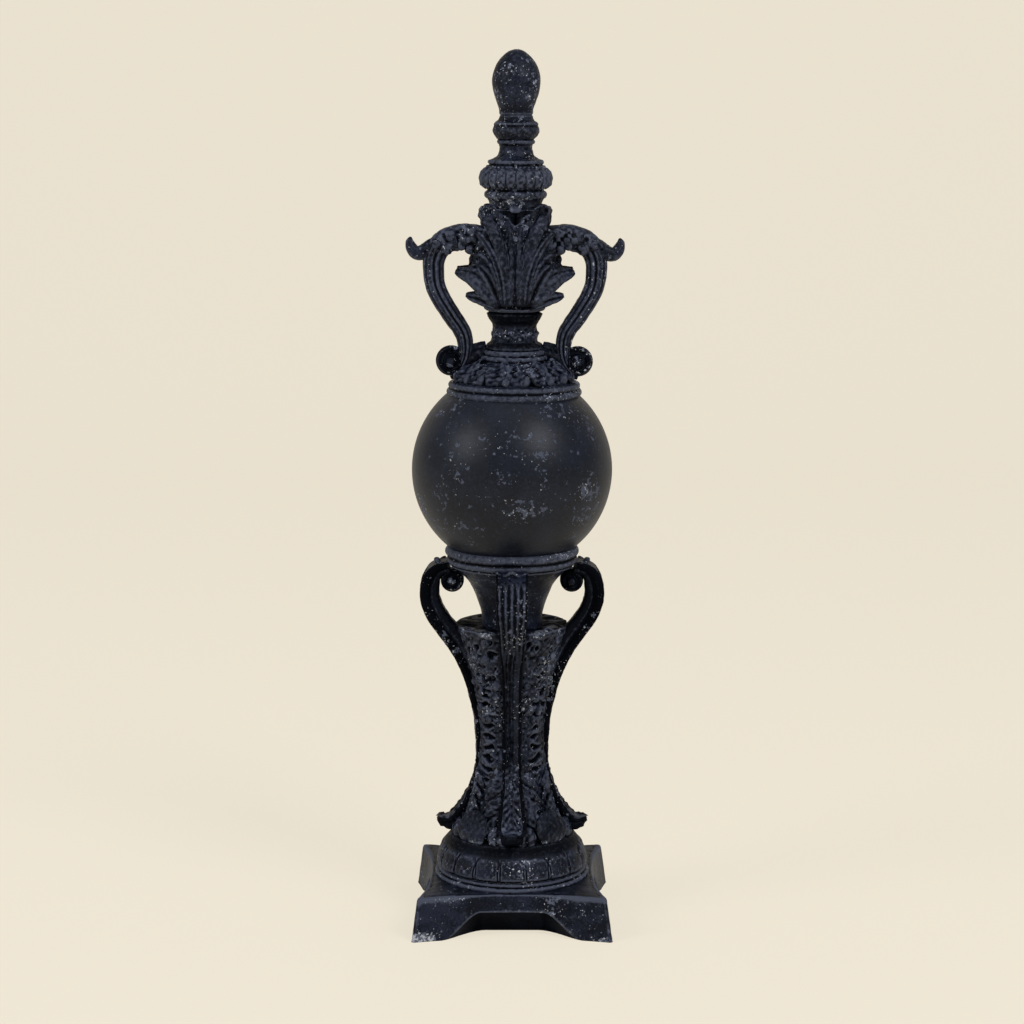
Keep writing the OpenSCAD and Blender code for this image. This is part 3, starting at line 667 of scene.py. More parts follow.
def shaft_leaves_master():
    """Carved leaves between two straps: flat fingers below the waist that sweep down from the straps, small
    knobbly ends of leaves above it, and three smooth lobes at the foot."""
    reach, level = np.array(flowing(SHAFT_SIDE, 0.7)).T
    chance = np.random.default_rng(11)
    shells = []

    def at(degrees, z, lift):
        r = np.interp(z, level, reach) + lift
        return r * math.cos(math.radians(degrees)), r * math.sin(math.radians(degrees)), z

    for hand in (1, -1):
        for i, z in enumerate(np.arange(88, 62, -5.4)):
            slant = lerp(2.0, 10.0, min(1, max(0, (118 - z) / 45)))
            bend = chance.uniform(0.75, 1.2)
            curl = chance.uniform(-1.2, 0.6)
            # Degrees from the strap, height and lift of each point
            spine = [
                (11, 1.0, -1.4),
                (20, -0.35 * slant, -0.3),
                (30, -0.8 * slant * bend, 0.1),
                (40.5, -1.2 * slant + curl, -1.0),
            ]
            if hand < 0:
                spine = [(90 - degrees, up, lift) for degrees, up, lift in spine]
            start = z + chance.uniform(-0.9, 0.9)
            points = [at(degrees, start + up, lift) for degrees, up, lift in spine]
            leaf = frond(points, chance.uniform(2.3, 2.9), 1.6, vein=0.2, grain=0.5, seed=30 + i, columns=20)
            shells.append(shell(leaf, rub=0.45))
        # Knobbly ends of leaves in the mass above
        for i in range(7):
            z = lerp(118, 166, i / 6) + chance.uniform(-2, 2)
            place = 45 - hand * chance.uniform(3, 25)
            tilt = chance.uniform(-3, 3)
            end = [at(place - 6, z - tilt, -0.4), at(place, z, 0.2), at(place + 6, z + tilt, -0.4)]
            size = chance.uniform(1.6, 3.2)
            shells.append(shell(frond(end, size, 1.4, grain=0.5, seed=70 + i, columns=14), rub=0.45))
    middle_lobe = ((33.0, 48.5), (33.2, 53), (31.4, 59), (27.8, 66.5))
    spine = [(r * math.sqrt(0.5), r * math.sqrt(0.5), z) for r, z in middle_lobe]
    lobe = frond(spine, 11.5, 2.4, vein=0.0, grain=0.35, seed=5, columns=60)
    worn_foot = smoothstep(0.22, 0.08, np.linspace(0, 1, len(lobe)))[:, None]
    # The lobe is painted in a little shade, except at its worn foot
    shells.append(shell(lobe, lerp(-0.3, 0.45, worn_foot), rub=0.5))
    side_lobe = ((33.4, 48.5), (33.0, 54), (31.2, 60.0))
    for side in (1, -1):
        tilt = math.radians(45 + 31 * side)
        spine = [(r * math.cos(tilt), r * math.sin(tilt), z) for r, z in side_lobe]
        shells.append(shell(frond(spine, 6.0, 2.4, vein=0.3, grain=0.3, seed=7, columns=40), rub=0.6))
    return cast("shaft_leaf_panel", together(*shells))


def vase_shell():
    """Plain vase that flares to the double ring under the ball."""
    under_ball = [
        (r, ball_mid[2] - math.sqrt(BALL_R ** 2 - r ** 2) - 0.4) for r in (35.2, 30, 22, 12, 3)
    ]
    profile = np.vstack([
        [[8, 166]],
        flowing([
            (16.4, 168), (17.4, 174), (17.8, 180), (19.5, 186), (21.4, 191), (25.0, 198.4), (32.6, 206.4),
        ]),
        arc(34.4, 208.3, 1.1, -110, 40),
        arc(35.4, 211.3, 2.2, -60, 50),
        arc(35.8, 216.0, 2.7, -50, 95),
        under_ball,
    ])

    def wear_and_shade(grid):
        x, y, z = np.moveaxis(grid, -1, 0)
        lip = smoothstep(213, 217, z) * smoothstep(30, 35, np.hypot(x, y))
        return lip * (0.1 + 0.3 * smoothstep(10, 26, x))

    def carve(angle, height, grid):
        return 0.12 * rough(grid, 5) - 0.05 + 0.08 * rough(grid, 1.6, 3)

    return turned(profile, 320, carve, wear_and_shade=wear_and_shade)


def volute_shell(x, z, radius, half, depth, eye, turns=1.6, hand=1, start=0.0):
    """Disc in the XZ plane with a domed eye, and round it a spiral ridge, on both faces."""
    face = np.linspace(0.02, 1, 34)
    rim = np.linspace(-1, 1, 14)[1:-1]
    a = np.linspace(0, TAU, 120, endpoint=False)[None, :]

    def side_face(sign):
        rho = face[:, None] if sign < 0 else face[::-1, None]
        wind = (hand * (a + start) / TAU + turns * rho) % 1
        groove = bell((wind - 0.5) * 2, 0.34) * smoothstep(eye * 0.95, eye * 1.1, rho)
        groove = groove * smoothstep(1.0, 0.93, rho)
        moat = bell(rho - 1.08 * eye, 0.09)
        dome = 1.3 * depth * np.sqrt(np.clip(1 - (rho / eye) ** 2, 0, 1))
        round_off = 2.4 * smoothstep(0.66, 1.0, rho) ** 2
        y = sign * (half - depth * np.maximum(groove, moat) + dome - round_off)
        r = radius * rho
        # Painted shade in the spiral groove and the moat round the eye; the ridges between are a little worn
        sunk.append(lerp(0.12, -0.9, np.clip(np.maximum(groove, moat), 0, 1)) + 0 * a)
        return np.stack([x + r * np.cos(a), y + 0 * a, z + r * np.sin(a)], axis=-1)

    sunk = []
    bulge = radius * (1 + 0.05 * np.sqrt(1 - rim[:, None] ** 2))
    y = rim[:, None] * (half - 2.4) + 0 * a
    middle = np.stack([x + bulge * np.cos(a), y, z + bulge * np.sin(a)], axis=-1)
    grid = np.concatenate([side_face(-1), middle, side_face(1)])
    wear_and_shade = np.concatenate([sunk[0], np.zeros(middle.shape[:2]), sunk[1]])
    return shell(grid, wear_and_shade, reach=4)


# Outer edge of a strap, and its half width by height
STRAP_EDGE = [
    (36, 210.2), (40.5, 209.6), (45.0, 208.2), (49.1, 204.7), (51.6, 200), (52.8, 194), (52.3, 186),
    (48.7, 176.6), (42.3, 167.2), (35.9, 157.8), (31, 148.4), (27.1, 139), (24.6, 129.6), (22.3, 120.1),
    (21.3, 110), (20.7, 100), (21.6, 89.3), (23.8, 81), (26.9, 73.4), (30.2, 67.4), (33.8, 62.2),
    (37.2, 59.2), (40.6, 58.4), (44.5, 58.3),
]
STRAP_HALF = [
    (49, 8.6), (58, 9.0), (66, 8.2), (78, 6.0), (95, 5.3), (140, 5.6), (172, 7.2), (191, 8.7), (210, 8.85),
]
# Depth of a bracket by its share of the way from the cup ring to the hooked tip
BRACKET_DEPTH = [
    (0, 6), (0.06, 9), (0.12, 10.8), (0.3, 11.3), (0.4, 14), (0.5, 10), (0.88, 12), (0.93, 10.6),
    (0.965, 7.8), (0.99, 5.0), (1, 2.0),
]


def bracket_master():
    """Scroll bracket: a reeded strap from the cup ring over an open loop, down the waist in two smooth bands
    beside a fine rib, and out to a hooked foot, where it opens into a veined leaf. A narrower web lines it,
    and a curl fills the crook."""
    path = flowing(STRAP_EDGE, 0.75)
    rows = len(path)
    share = np.linspace(0, 1, rows)
    half = np.interp(path[:, 1], *zip(*STRAP_HALF))
    half = np.where(share > 0.9, lerp(half, 5.4, smoothstep(0.94, 1.0, share)), half)
    depth = np.interp(share, *zip(*BRACKET_DEPTH))
    foot = smoothstep(0.84, 0.90, share)
    band = lerp(np.minimum(6.2, 0.62 * depth), 0.5 * depth, foot)
    beside_mass = smoothstep(0.40, 0.48, share)
    web = half * lerp(np.where(depth > 6.6, lerp(0.62, 0.86, beside_mass), 0.9), 0.80, foot)
    on_face = 36
    v = np.linspace(-1, 1, on_face)
    soft = 0.5 + 1.1 * smoothstep(0.30, 0.42, share) + 0.6 * foot

    def ring(row):
        """Section of the bracket: the strap's face, then one flank and the web behind it, and back."""
        h, d, b, w, e = half[row], depth[row], band[row], web[row], soft[row]
        deep = d - b
        one_side = [
            (h - 0.4 * e, -0.25 * e),
            (h, -0.3 * b - 0.2 * e),
            (h - 0.5, -0.6 * b),
            (h - 1.4, -0.85 * b),
            (h - 2.4, -b),
            (w + 0.2, -b - 0.1 * deep),
            (w, -b - 0.25 * deep),
            (w, -b - 0.6 * deep),
            (w - 0.4, -d + 0.1 * deep),
            (w - 1.3, -d),
        ]
        out = [*(0 * v), *[p[1] for p in one_side], *[p[1] for p in one_side[::-1]]]
        return out, [*(v * (h - 1.1 * e)), *[p[0] for p in one_side], *[-p[0] for p in one_side[::-1]]]

    out, across = np.array([ring(row) for row in range(rows)]).transpose(1, 0, 2)
    s = share[:, None]
    y = across / half[:, None]
    face = np.zeros(out.shape)
    face[:, :on_face] = 1
    drift = 0.22 * smoothstep(0.30, 0.42, s) * smoothstep(0.9, 0.8, s)
    rib_y = y + drift
    reeds = -(0.5 + 0.5 * np.cos(y * 5 * math.pi)) * smoothstep(0.07, 0.10, s) * smoothstep(0.37, 0.26, s)
    rib = 0.4 * bell(rib_y, 0.09) - 1.1 * bell(np.abs(rib_y) - 0.22, 0.09)
    rib = rib * smoothstep(0.28, 0.36, s) * smoothstep(0.80, 0.72, s)
    rounded = -y ** 2 * smoothstep(0.30, 0.38, s)
    open_leaf = smoothstep(0.70, 0.80, s)
    along = 0.75 * rows * (s - 0.70)
    loose = 2.4 * rough(np.stack([along + 0 * across, across, 0 * across], axis=-1), 5.0, 6)
    veins = 0.5 + 0.5 * np.cos(TAU * (along - 1.3 * np.abs(across) + loose) / 5.4)
    veins = veins * smoothstep(0.08, 0.25, np.abs(y)) - 0.7 * bell(y, 0.1)
    hook = smoothstep(0.965, 0.93, s)
    out = out + face * (reeds + rib + rounded - open_leaf * (0.42 * veins * hook + 0.5))
    grid = swept(path, (out, across))
    leafy = np.maximum(0.6 * smoothstep(0.64, 0.8, s), 1.6 * smoothstep(0.42, 0.55, s) * (1 - face))
    grain = (0.16 + 0.35 * leafy) * rough(grid, 2.4, 8) + (0.1 + 0.15 * leafy) * rough(grid, 1.2, 9)
    grid = raised(grid, grain - 0.12)
    # The leaf's rounded, scalloped end
    beside = np.clip(y, -1, 1)
    lobes = 0.14 * (1 - np.abs(np.cos(1.5 * math.pi * beside))) + 0.3 * np.abs(beside) ** 4
    end_rows = 14
    lead = grid[-end_rows]
    back = np.clip((s - share[-end_rows]) / (1 - share[-end_rows]), 0, 1)
    grid = lerp(grid, np.where(back[..., None] > 0, lead + 0 * grid, grid), (back * lobes)[..., None])
    curl = volute_shell(34.3, 198.8, radius=6.4, half=7.0, depth=1.6, eye=0.5, start=1.0)
    inside = np.abs(np.arange(grid.shape[1]) - grid.shape[1] / 2 - on_face / 2) < 7
    # Painted shade on the web behind the upper strap, and on the flanks of the hooked end
    wear_and_shade = 0.04 * leafy * (1 - face) - 0.6 * inside[None, :] * smoothstep(0.5, 0.36, s)
    wear_and_shade = wear_and_shade - 0.8 * smoothstep(0.93, 0.96, s) * (1 - face)
    return cast("bracket", together(shell(grid, wear_and_shade), curl, wavy_lip()))


def wavy_lip():
    """Three-lobed wavy lip over the strap, just under the ring, its paint partly rubbed off."""
    a = np.linspace(0, TAU, 20, endpoint=False)[None, :]
    y = np.linspace(-9.6, 9.6, 70)[:, None]
    taper = np.sqrt(np.clip(1 - (y / 9.7) ** 6, 0.02, 1))
    x = 43.2 - 0.05 * y ** 2 + 1.7 * taper * np.cos(a)
    z = 209.6 + 1.15 * np.cos(y * TAU / 10.8) + 1.15 * taper * np.sin(a)
    return shell(np.stack([x, y + 0 * a, z], axis=-1)[:, ::-1], wear_and_shade=0.22)


# ---- Crown, about its own axis ----

def base_shell():
    """Collar on the ball, the ground of the leafy dome, three stepped rings and the neck."""
    over_ball = [(r, ball_mid[2] + math.sqrt(BALL_R ** 2 - r ** 2) + 0.5) for r in (3, 12, 22, 30, 35.5)]
    profile = np.vstack([
        over_ball,
        arc(36.3, 307.7, 2.2, -70, 55),
        [[37.0, 309.8]],
        arc(35.6, 311.6, 1.9, -40, 80),
        [[35.2, 313.9]],
        flowing([(34.2, 314.4), (30.8, 318.0), (25.4, 321.6), (20.0, 324.8)]),
        arc(17.6, 327.2, 1.5, -60, 80),
        arc(15.9, 330.2, 1.6, -70, 80),
        arc(14.2, 333.6, 1.9, -70, 80),
        flowing([(13.2, 336.2), (11.9, 339), (11.4, 342.4), (12.4, 346), (14.6, 349.4), (15.8, 352.2)]),
        [[14, 353.4], [8, 354]],
    ])

    def carve(angle, height, grid):
        dome = smoothstep(313.8, 315.4, height) * smoothstep(325.4, 324.2, height)
        lumps = 1.3 + 0.7 * np.abs(np.cos(5 * angle)) + 0.8 * rough(grid, 1.8, 3)
        band = bell(height - 341.0, 3.2) * lumps
        rings = 0.3 * rough(grid, 1.8, 5) * smoothstep(325, 327, height)
        return band + rings + 1.2 * dome * rough(grid, 3.0, 7) + 0.08 * rough(grid, 2)

    def wear_and_shade(grid):
        x, y, z = np.moveaxis(grid, -1, 0)
        collar = 0.22 * smoothstep(306, 307, z) * smoothstep(318, 310, z) * smoothstep(12, 30, x)
        neck = smoothstep(344, 347, z) + smoothstep(337.5, 335.5, z) * smoothstep(332.5, 334.5, z)
        # Painted shade on the neck above the lumpy band and in a narrow band below it
        return collar - 0.8 * neck + 0.3 * bell(z - 341, 2.6)

    return turned(profile, 420, carve, step=0.55, wear_and_shade=wear_and_shade)


def dome_leaf_master():
    """One broad leaf that lies down the dome, with a round scallop beside it and two petals at its foot."""
    def at(degrees, r, z):
        return r * math.cos(math.radians(degrees)), r * math.sin(math.radians(degrees)), z

    leaves = [
        frond([at(0, 19.8, 325.4), at(3, 26.0, 322.6), at(2, 31.0, 319.0), at(-1, 35.6, 314.8)],
              6.4, 1.8, vein=0.35, grain=0.6, seed=81, columns=30),
        frond([at(23, 22.0, 323.8), at(22, 28.0, 320.6), at(24, 33.2, 316.6)],
              4.8, 1.9, vein=0.5, grain=0.6, seed=83, columns=26),
        frond([at(11, 32.2, 317.6), at(15, 33.4, 316.4), at(19, 33.0, 316.0)],
              2.6, 1.6, vein=0.1, grain=0.4, seed=85),
        frond([at(30, 31.8, 318.4), at(34, 33.4, 316.4), at(38, 33.0, 315.6)],
              3.1, 1.6, vein=0.2, grain=0.5, seed=87),
    ]
    return cast("dome_leaf", together(*[shell(grid, rub=0.5) for grid in leaves]))


# Radius of the calyx, and how far it swells to the sides, by the share of its height
CALYX_BODY = [
    (0, 12.5), (0.01, 16.0), (0.03, 17.4), (0.055, 16.4), (0.10, 18.8), (0.2, 20.0), (0.4, 20.4),
    (0.6, 20.6), (0.78, 19.6), (0.87, 16.6), (0.94, 15.6), (1, 15.2),
]
CALYX_WING = [
    (0.04, 0), (0.10, 3.0), (0.16, 4.0), (0.25, 5.2), (0.34, 8.0), (0.39, 8.6), (0.45, 7.0), (0.52, 6.2),
    (0.62, 6.0), (0.72, 3.5), (0.82, 1.2), (0.9, 0),
]
# Spine, width, thickness, vein and tip of each leaf on one quarter of the calyx
CALYX_LEAVES = [
    # The lower lobe, the upper lobe and its rim
    ([(8.5, -14.0, 357.4), (13, -13.4, 358.4), (19, -10.6, 360.6), (27.6, -5, 362.4)],
     3.1, 2.6, 0.45, 0.985),
    ([(9, -14.6, 357.8), (13.5, -14.8, 362.0), (19, -13.0, 368.0), (26, -9.4, 373.2), (33.6, -5, 375.6)],
     4.2, 3.0, 0.1, 0.985),
    ([(11.5, -14.8, 363), (15, -14.8, 370.4), (21, -12.6, 376.6), (32.4, -5.5, 377.8)],
     1.5, 2.3, 0.0, 0.96),
    # A round leaf and the arch over it
    ([(8.4, -15.6, 359), (11.4, -16.4, 367), (15.4, -15.8, 374.6), (20.4, -13.4, 380.0)],
     3.7, 2.4, 0.6, 0.9),
    ([(7.2, -16.4, 359), (9.0, -18.0, 369), (12.4, -18.0, 378.6), (17.6, -16.0, 385), (23.6, -12, 386.6)],
     1.4, 2.9, 0.0, 0.95),
    # A long petal, the broad petal of the fan beside it, and the ridges in the middle
    ([(6.0, -16.8, 358), (7.5, -18.8, 372), (11.2, -18.2, 384), (16.6, -15.4, 393), (21.6, -12, 398.5)],
     2.5, 2.6, 0.3, 0.9),
    ([(4.0, -17.2, 357.6), (5.0, -19.4, 374), (7.8, -19.2, 389), (12.6, -16.6, 400), (16.6, -13.2, 407)],
     3.7, 2.0, 0.1, 0.80),
    ([(1.5, -17.4, 357.6), (1.7, -20.0, 374), (2.2, -20.0, 388), (3.2, -18.2, 402)],
     1.5, 1.8, 0.0, 0.80),
    ([(3.0, -17.8, 360), (3.9, -20.6, 378), (6.0, -20.6, 391), (9.6, -18.0, 402.5)],
     0.8, 1.7, 0.0, 0.85),
]


def calyx_shell():
    """Cup of leaves. Its body swells to the sides and ends in four upstanding leaf tips with a slotted V
    between them, and its long petals spread from the bead, the same on all four quarters."""
    rows = np.linspace(0, 1, 120)
    angle = np.linspace(0, TAU, 460, endpoint=False)[None, :]
    share = rows[:, None]
    low = CALYX_Z - 2.0
    height = low + share * (TIPS_Z - low) + 0 * angle
    body = np.interp(rows, *zip(*CALYX_BODY))[:, None]
    wing = np.interp(rows, *zip(*CALYX_WING))[:, None]
    from_side = np.abs(np.abs((angle + math.pi / 2) % TAU - math.pi) - math.pi / 2)
    radius = body + wing * np.clip(1 - from_side / math.radians(46), 0, 1) ** 1.5
    at_side = smoothstep(math.radians(31), math.radians(20), from_side)
    upstand = 20.2 - 0.9 * smoothstep(0.96, 1.0, share) ** 2
    radius = lerp(radius, np.maximum(radius, upstand), at_side * smoothstep(0.70, 0.76, share))
    fore = smoothstep(math.radians(27), math.radians(18), from_strap(angle)) * (np.abs(np.sin(angle)) > 0.7)
    radius = radius + 1.8 * fore * smoothstep(0.855, 0.90, share)
    grid = round_grid(radius, angle, height)
    x = np.abs(grid[..., 0])
    last_rows = smoothstep(0.9, 1.0, share)
    grid[..., 2] -= last_rows * (2.4 * smoothstep(13.5, 10, x) + 1.6 * smoothstep(16.5, 20, x) ** 2)
    front = smoothstep(0.72, 0.9, np.abs(np.sin(angle)))
    notch = smoothstep(1.0, -0.6, x - 1.0 * np.clip(height - 402.6, 0, 12))
    notch = notch * smoothstep(402.8, 404.2, height) * smoothstep(414.2, 412.8, height)
    carved = -1.2 * smoothstep(0.05, 0.12, share) * smoothstep(0.86, 0.78, share)
    carved = carved + 0.55 * rough(grid, 2.2, 2) + 0.25 * rough(grid, 1.1, 3)
    carved = lerp(carved, -1.8 - 2.4 * bell(x, 0.7), notch * front)
    sideways = smoothstep(0.6, 0.9, np.abs(np.cos(angle)))
    carved += 0.9 * sideways * smoothstep(376, 384, height) * rough(grid, 3.0, 8)
    grid = raised(grid, carved * smoothstep(0, 0.03, share))
    last = grid[-1]
    dip = []
    for t, fall in ((0.1, 0.2), (0.35, -1.4), (1, -2.5)):
        ring = last.copy()
        ring[:, :2] *= lerp(1, 0.55, t)
        ring[:, 2] = lerp(last[:, 2], TIPS_Z, t) + fall
        dip.append(ring)
    first = grid[0].copy()
    first[:, :2] *= 0.7
    cup = np.concatenate([first[None], grid, np.array(dip)])
    # Shade is painted into the V
    wear_and_shade = -0.8 * np.pad(notch * front, ((1, len(dip)), (0, 0)))
    shells = [shell(cup, wear_and_shade, rub=0.6)]
    for k, (spine, width, thick, vein, tip) in enumerate(CALYX_LEAVES):
        leaf = frond(
            spine, width, thick, vein, facing=(0.25, -1, 0.1), grain=0.22, seed=90 + k, columns=24, tip=tip,
        )
        for x_side, y_side in ((1, 1), (1, -1), (-1, 1), (-1, -1)):
            # The leaves are painted in a little shade, which also dims their rubbed edges
            shells.append(shell(mirrored(leaf, x_side, y_side), -0.28, rub=0.8))
    return together(*shells)


def folded_tip():
    """Small leaf tip that curls out over the slot, front and back."""
    t = np.linspace(0.02, 0.98, 16)[:, None]
    a = np.linspace(0, TAU, 24, endpoint=False)[None, :]
    wide = np.sqrt(1 - (2 * t - 1) ** 2)
    x = 3.2 * wide * np.cos(a)
    y = -15.0 + 1.9 * wide * np.sin(a) - 1.2 * (0.5 - t)
    z = 411.4 + 2.2 * (2 * t - 1) + 0 * a
    return shell(np.stack([x, y, z], axis=-1))


HANDLE_LINE = [
    (17, 394.0), (30.6, 395.2), (40.8, 391.6), (45.4, 383.4), (45.9, 375), (44.8, 367.4), (41.5, 360.0),
    (35.4, 350.4), (29.7, 341.8), (27.9, 334.4), (28.6, 326.6), (32.0, 320.4), (37.5, 318.6),
]
HOOK_LINE = [
    (33, 394.6), (42.0, 391.6), (48.0, 388.3), (52.6, 386.2), (56.2, 386.4), (58.5, 389.0), (59.4, 392.4),
    (58.9, 395.0),
]
# Thickness and breadth of the handle, and radius of the hook, by the share of their length
HANDLE_THICK = [
    (0, 7.6), (0.12, 7.4), (0.28, 6.5), (0.45, 5.8), (0.68, 5.2), (0.80, 4.7), (0.90, 3.4), (1, 1.6),
]
HANDLE_BROAD = [(0, 8.0), (0.12, 7.4), (0.3, 6.0), (0.6, 5.2), (0.75, 5.0), (1, 4.4)]
HOOK_RADIUS = [
    (0, 6.0), (0.3, 5.4), (0.5, 4.6), (0.7, 4.0), (0.84, 3.2), (0.93, 2.2), (0.98, 1.2), (1, 0.5),
]
# Place and size of the round knobs and leaf ends on both sides of the arm
ARM_KNOBS = [
    (24, 397.6, 3.4), (29.8, 392.0, 3.6), (36.5, 396.0, 2.8), (38.2, 388.0, 2.6), (19.5, 391.0, 3.0),
    (44.5, 391.2, 2.4), (25.5, 388.4, 2.4),
]
# Spine, width and flatness of the leaf ridges from the scroll to the dome
WEB_RIDGES = [
    ([(12, 331), (19, 329), (25, 325.5), (31, 320)], 5.0, 0.9),
    ([(16, 334), (24, 331.5), (31, 327)], 3.6, 0.9),
    ([(24, 322.5), (30, 318.6), (36, 315.6)], 2.8, 1.5),
    ([(20, 325), (27, 320.5), (33, 316.5)], 3.0, 1.5),
]


def handle_master():
    """Handle: a smooth ridged strap from the calyx over its shoulder and down into a scroll, and a knobbly
    leafy arm that runs on to a hook curled up at its end. A web of leaf joins the scroll to the dome."""
    path = flowing(HANDLE_LINE, 0.8)
    share = np.linspace(0, 1, len(path))[:, None]
    a = np.linspace(0, TAU, 72, endpoint=False)[None, :]
    thick = np.interp(share, *zip(*HANDLE_THICK))
    broad = np.interp(share, *zip(*HANDLE_BROAD))
    power = 2.6  # 2 would make the section an ellipse
    boxy = 1 / (np.abs(np.cos(a)) ** power + np.abs(np.sin(a)) ** power) ** (1 / power)
    out = thick * boxy * np.cos(a)
    across = broad * boxy * np.sin(a)
    grid = swept(path, (out, across))[:, ::-1]
    place = (out / thick)[:, ::-1]
    on_faces = smoothstep(0.45, 0.75, np.abs(np.sin(a)))[:, ::-1]
    strap = smoothstep(0.20, 0.30, share)
    grooves = -1.2 * bell(place + 0.05, 0.10) - 0.5 * bell(place - 0.70, 0.08)
    grooves = grooves - 0.6 * bell(place + 0.62, 0.10)
    leafy = smoothstep(0.30, 0.20, share)
    on_top = smoothstep(0.5, 0.85, place)
    knobs = leafy * (1 - 0.85 * on_top) * (1.2 * rough(grid, 4.2, 12) + 0.9 * rough(grid, 2.0, 13))
    grid = raised(grid, grooves * on_faces * strap + knobs + 0.16 * rough(grid, 2.6, 14) - 0.1)
    scroll = volute_shell(36.0, 325.2, radius=8.2, half=5.0, depth=2.2, eye=0.48, hand=-1, start=2.2)

    hook_path = flowing(HOOK_LINE, 0.8)
    t = np.linspace(0, 1, len(hook_path))[:, None]
    hook_r = np.interp(t, *zip(*HOOK_RADIUS))
    hook = swept(hook_path, (hook_r * boxy * np.cos(a), 1.15 * hook_r * boxy * np.sin(a)))[:, ::-1]
    knobbly = smoothstep(0.75, 0.35, t)
    lumps = knobbly * (0.7 * rough(hook, 3.6, 15) + 0.5 * rough(hook, 1.8, 16))
    hook = raised(hook, lumps + 0.15 * rough(hook, 2))

    # Painted shade in the grooves of the strap
    shells = [shell(grid, 0.55 * grooves * on_faces * strap, rub=0.8), scroll, shell(hook, rub=0.6)]
    for k, (x, z, size) in enumerate(ARM_KNOBS):
        for side in (1, -1):
            spine = [(x - 2.2, -5.2, z - 0.8), (x, -6.6, z), (x + 2.4, -5.4, z + 0.6)]
            knob = frond(spine, size, 1.9, vein=0.5, facing=(0, -1, 0), grain=0.5, seed=110 + k, columns=18)
            shells.append(shell(mirrored(knob, y=side), rub=0.5))
    for k, (spine, width, flatness) in enumerate(WEB_RIDGES):
        line = flowing(spine, 0.8)
        w = np.linspace(0, 1, len(line))[:, None]
        slim = width * np.sqrt(np.sin(np.pi * (0.2 + 0.7 * w)))
        web = swept(line, (0.8 * slim * np.cos(a), flatness * slim * np.sin(a)))[:, ::-1]
        web = raised(web, 0.5 * rough(web, 2.4, 17 + k) + 0.3 * rough(web, 1.3, 27 + k))
        # Painted shade over the web of leaf under the scroll
        shells.append(shell(web, wear_and_shade=-0.45, rub=0.5))
    return cast("handle", together(*shells))


def knob_shell():
    """Turned core of the knob, with its bead roll, the flared lip over it, the small neck and the double
    ring."""
    profile = np.vstack([
        [[6, 411], [13.4, 411.6]],
        flowing([(14.4, 413), (15.2, 415.6)], 0.5),
        arc(15.3, 419.2, 2.3, -70, 70),
        [[15.8, 421.8]],
        flowing([(17.2, 423), (19.4, 426), (19.9, 428.6), (19.0, 431.6), (16.8, 434.2)]),
        arc(14.6, 437.2, 1.2, -80, 80),
        flowing([(12.4, 439.2), (10.4, 440.8), (9.7, 442.6), (9.2, 445.0), (9.4, 447)]),
        arc(9.4, 448.5, 1.3, -60, 70),
        flowing([(10.6, 450.2), (12.2, 452.2), (13.1, 454.8), (12.6, 456.6)]),
        arc(11.2, 458.2, 1.2, -40, 70),
        [[10.3, 460.2], [9.6, 461.3]],
        flowing([(9.3, 461.9), (9.1, 463)], 0.5),
        [[7, 463.6]],
    ])

    def carve(angle, height, grid):
        return 0.22 * rough(grid, 1.8, 3) + 0.12 * rough(grid, 1.0, 4)

    def wear_and_shade(grid):
        return 0.12 * smoothstep(-0.2, 0.5, rough(grid, 8, 5))

    return turned(profile, 300, carve, step=0.5, wear_and_shade=wear_and_shade)


def bud_shell():
    """Smooth pear-shaped bud at the top, flaked here and there."""
    profile = flowing([
        (6, 462), (9.2, 463.6), (9.7, 466.5), (11.2, 470.6), (12.9, 476), (13.7, 481.2), (13.5, 485),
        (12.5, 488.5), (11.2, 491.4), (9.4, 494.1), (7.2, 496.4), (4.4, 498.5), (1.2, TOP_Z),
    ], 0.6)

    def carve(angle, height, grid):
        return 0.1 * rough(grid, 4, 5) - 0.12 + 0.06 * rough(grid, 1.5, 6)

    def wear_and_shade(grid):
        return 0.26 * smoothstep(-0.1, 0.6, rough(grid, 9, 7))

    return turned(profile, 180, carve, step=0.6, wear_and_shade=wear_and_shade)


def gadroon_master():
    """One soft lobe of the knob, bent to the knob's flank."""
    line = flowing([(17.2, 422.2), (19.0, 424.6), (19.7, 428.2), (18.9, 431.4), (16.4, 434.2)], 0.5)
    share = np.linspace(0, 1, len(line))[:, None]
    a = np.linspace(0, TAU, 20, endpoint=False)[None, :]
    full = np.sqrt(np.clip(np.sin(np.pi * np.clip(share, 0.02, 0.98)), 0, 1))
    grid = swept(line, (-1.25 * full * np.cos(a), 2.5 * full * np.sin(a)))
    return cast("gadroon", shell(raised(grid, 0.3 * rough(grid, 1.8, 19))))


def bead_master():
    """One bead of the row round the knob's shoulder, rubbed pale."""
    a = np.linspace(0, TAU, 10, endpoint=False)[None, :]
    t = np.linspace(0.08, 0.92, 7)[:, None] * math.pi
    r = 0.8
    x = 15.9 + r * np.sin(t) * np.cos(a)
    y = r * np.sin(t) * np.sin(a)
    z = 434.6 - r * np.cos(t) + 0 * a
    return cast("bead", shell(np.stack([x, y, z], axis=-1), wear_and_shade=0.25))


# Chipped places of the ball: degrees round, height from its middle, reach in degrees and in mm, and how bare
CHIPPED_PLACES = [
    # On its front
    (-102, 22, 16, 7, 0.30), (-76, 15, 20, 9, 0.34), (-94, 4, 9, 6, 0.36), (-104, -9, 16, 5, 0.32),
    (-84, -16, 18, 4, 0.34), (-46, -8, 9, 7, 0.40), (-38, -25, 9, 9, 0.44), (-90, 46, 60, 4, 0.24),
    # Behind
    (20, 10, 20, 14, 0.28), (95, -5, 26, 14, 0.34), (150, 20, 18, 12, 0.28), (-160, -20, 16, 12, 0.3),
]


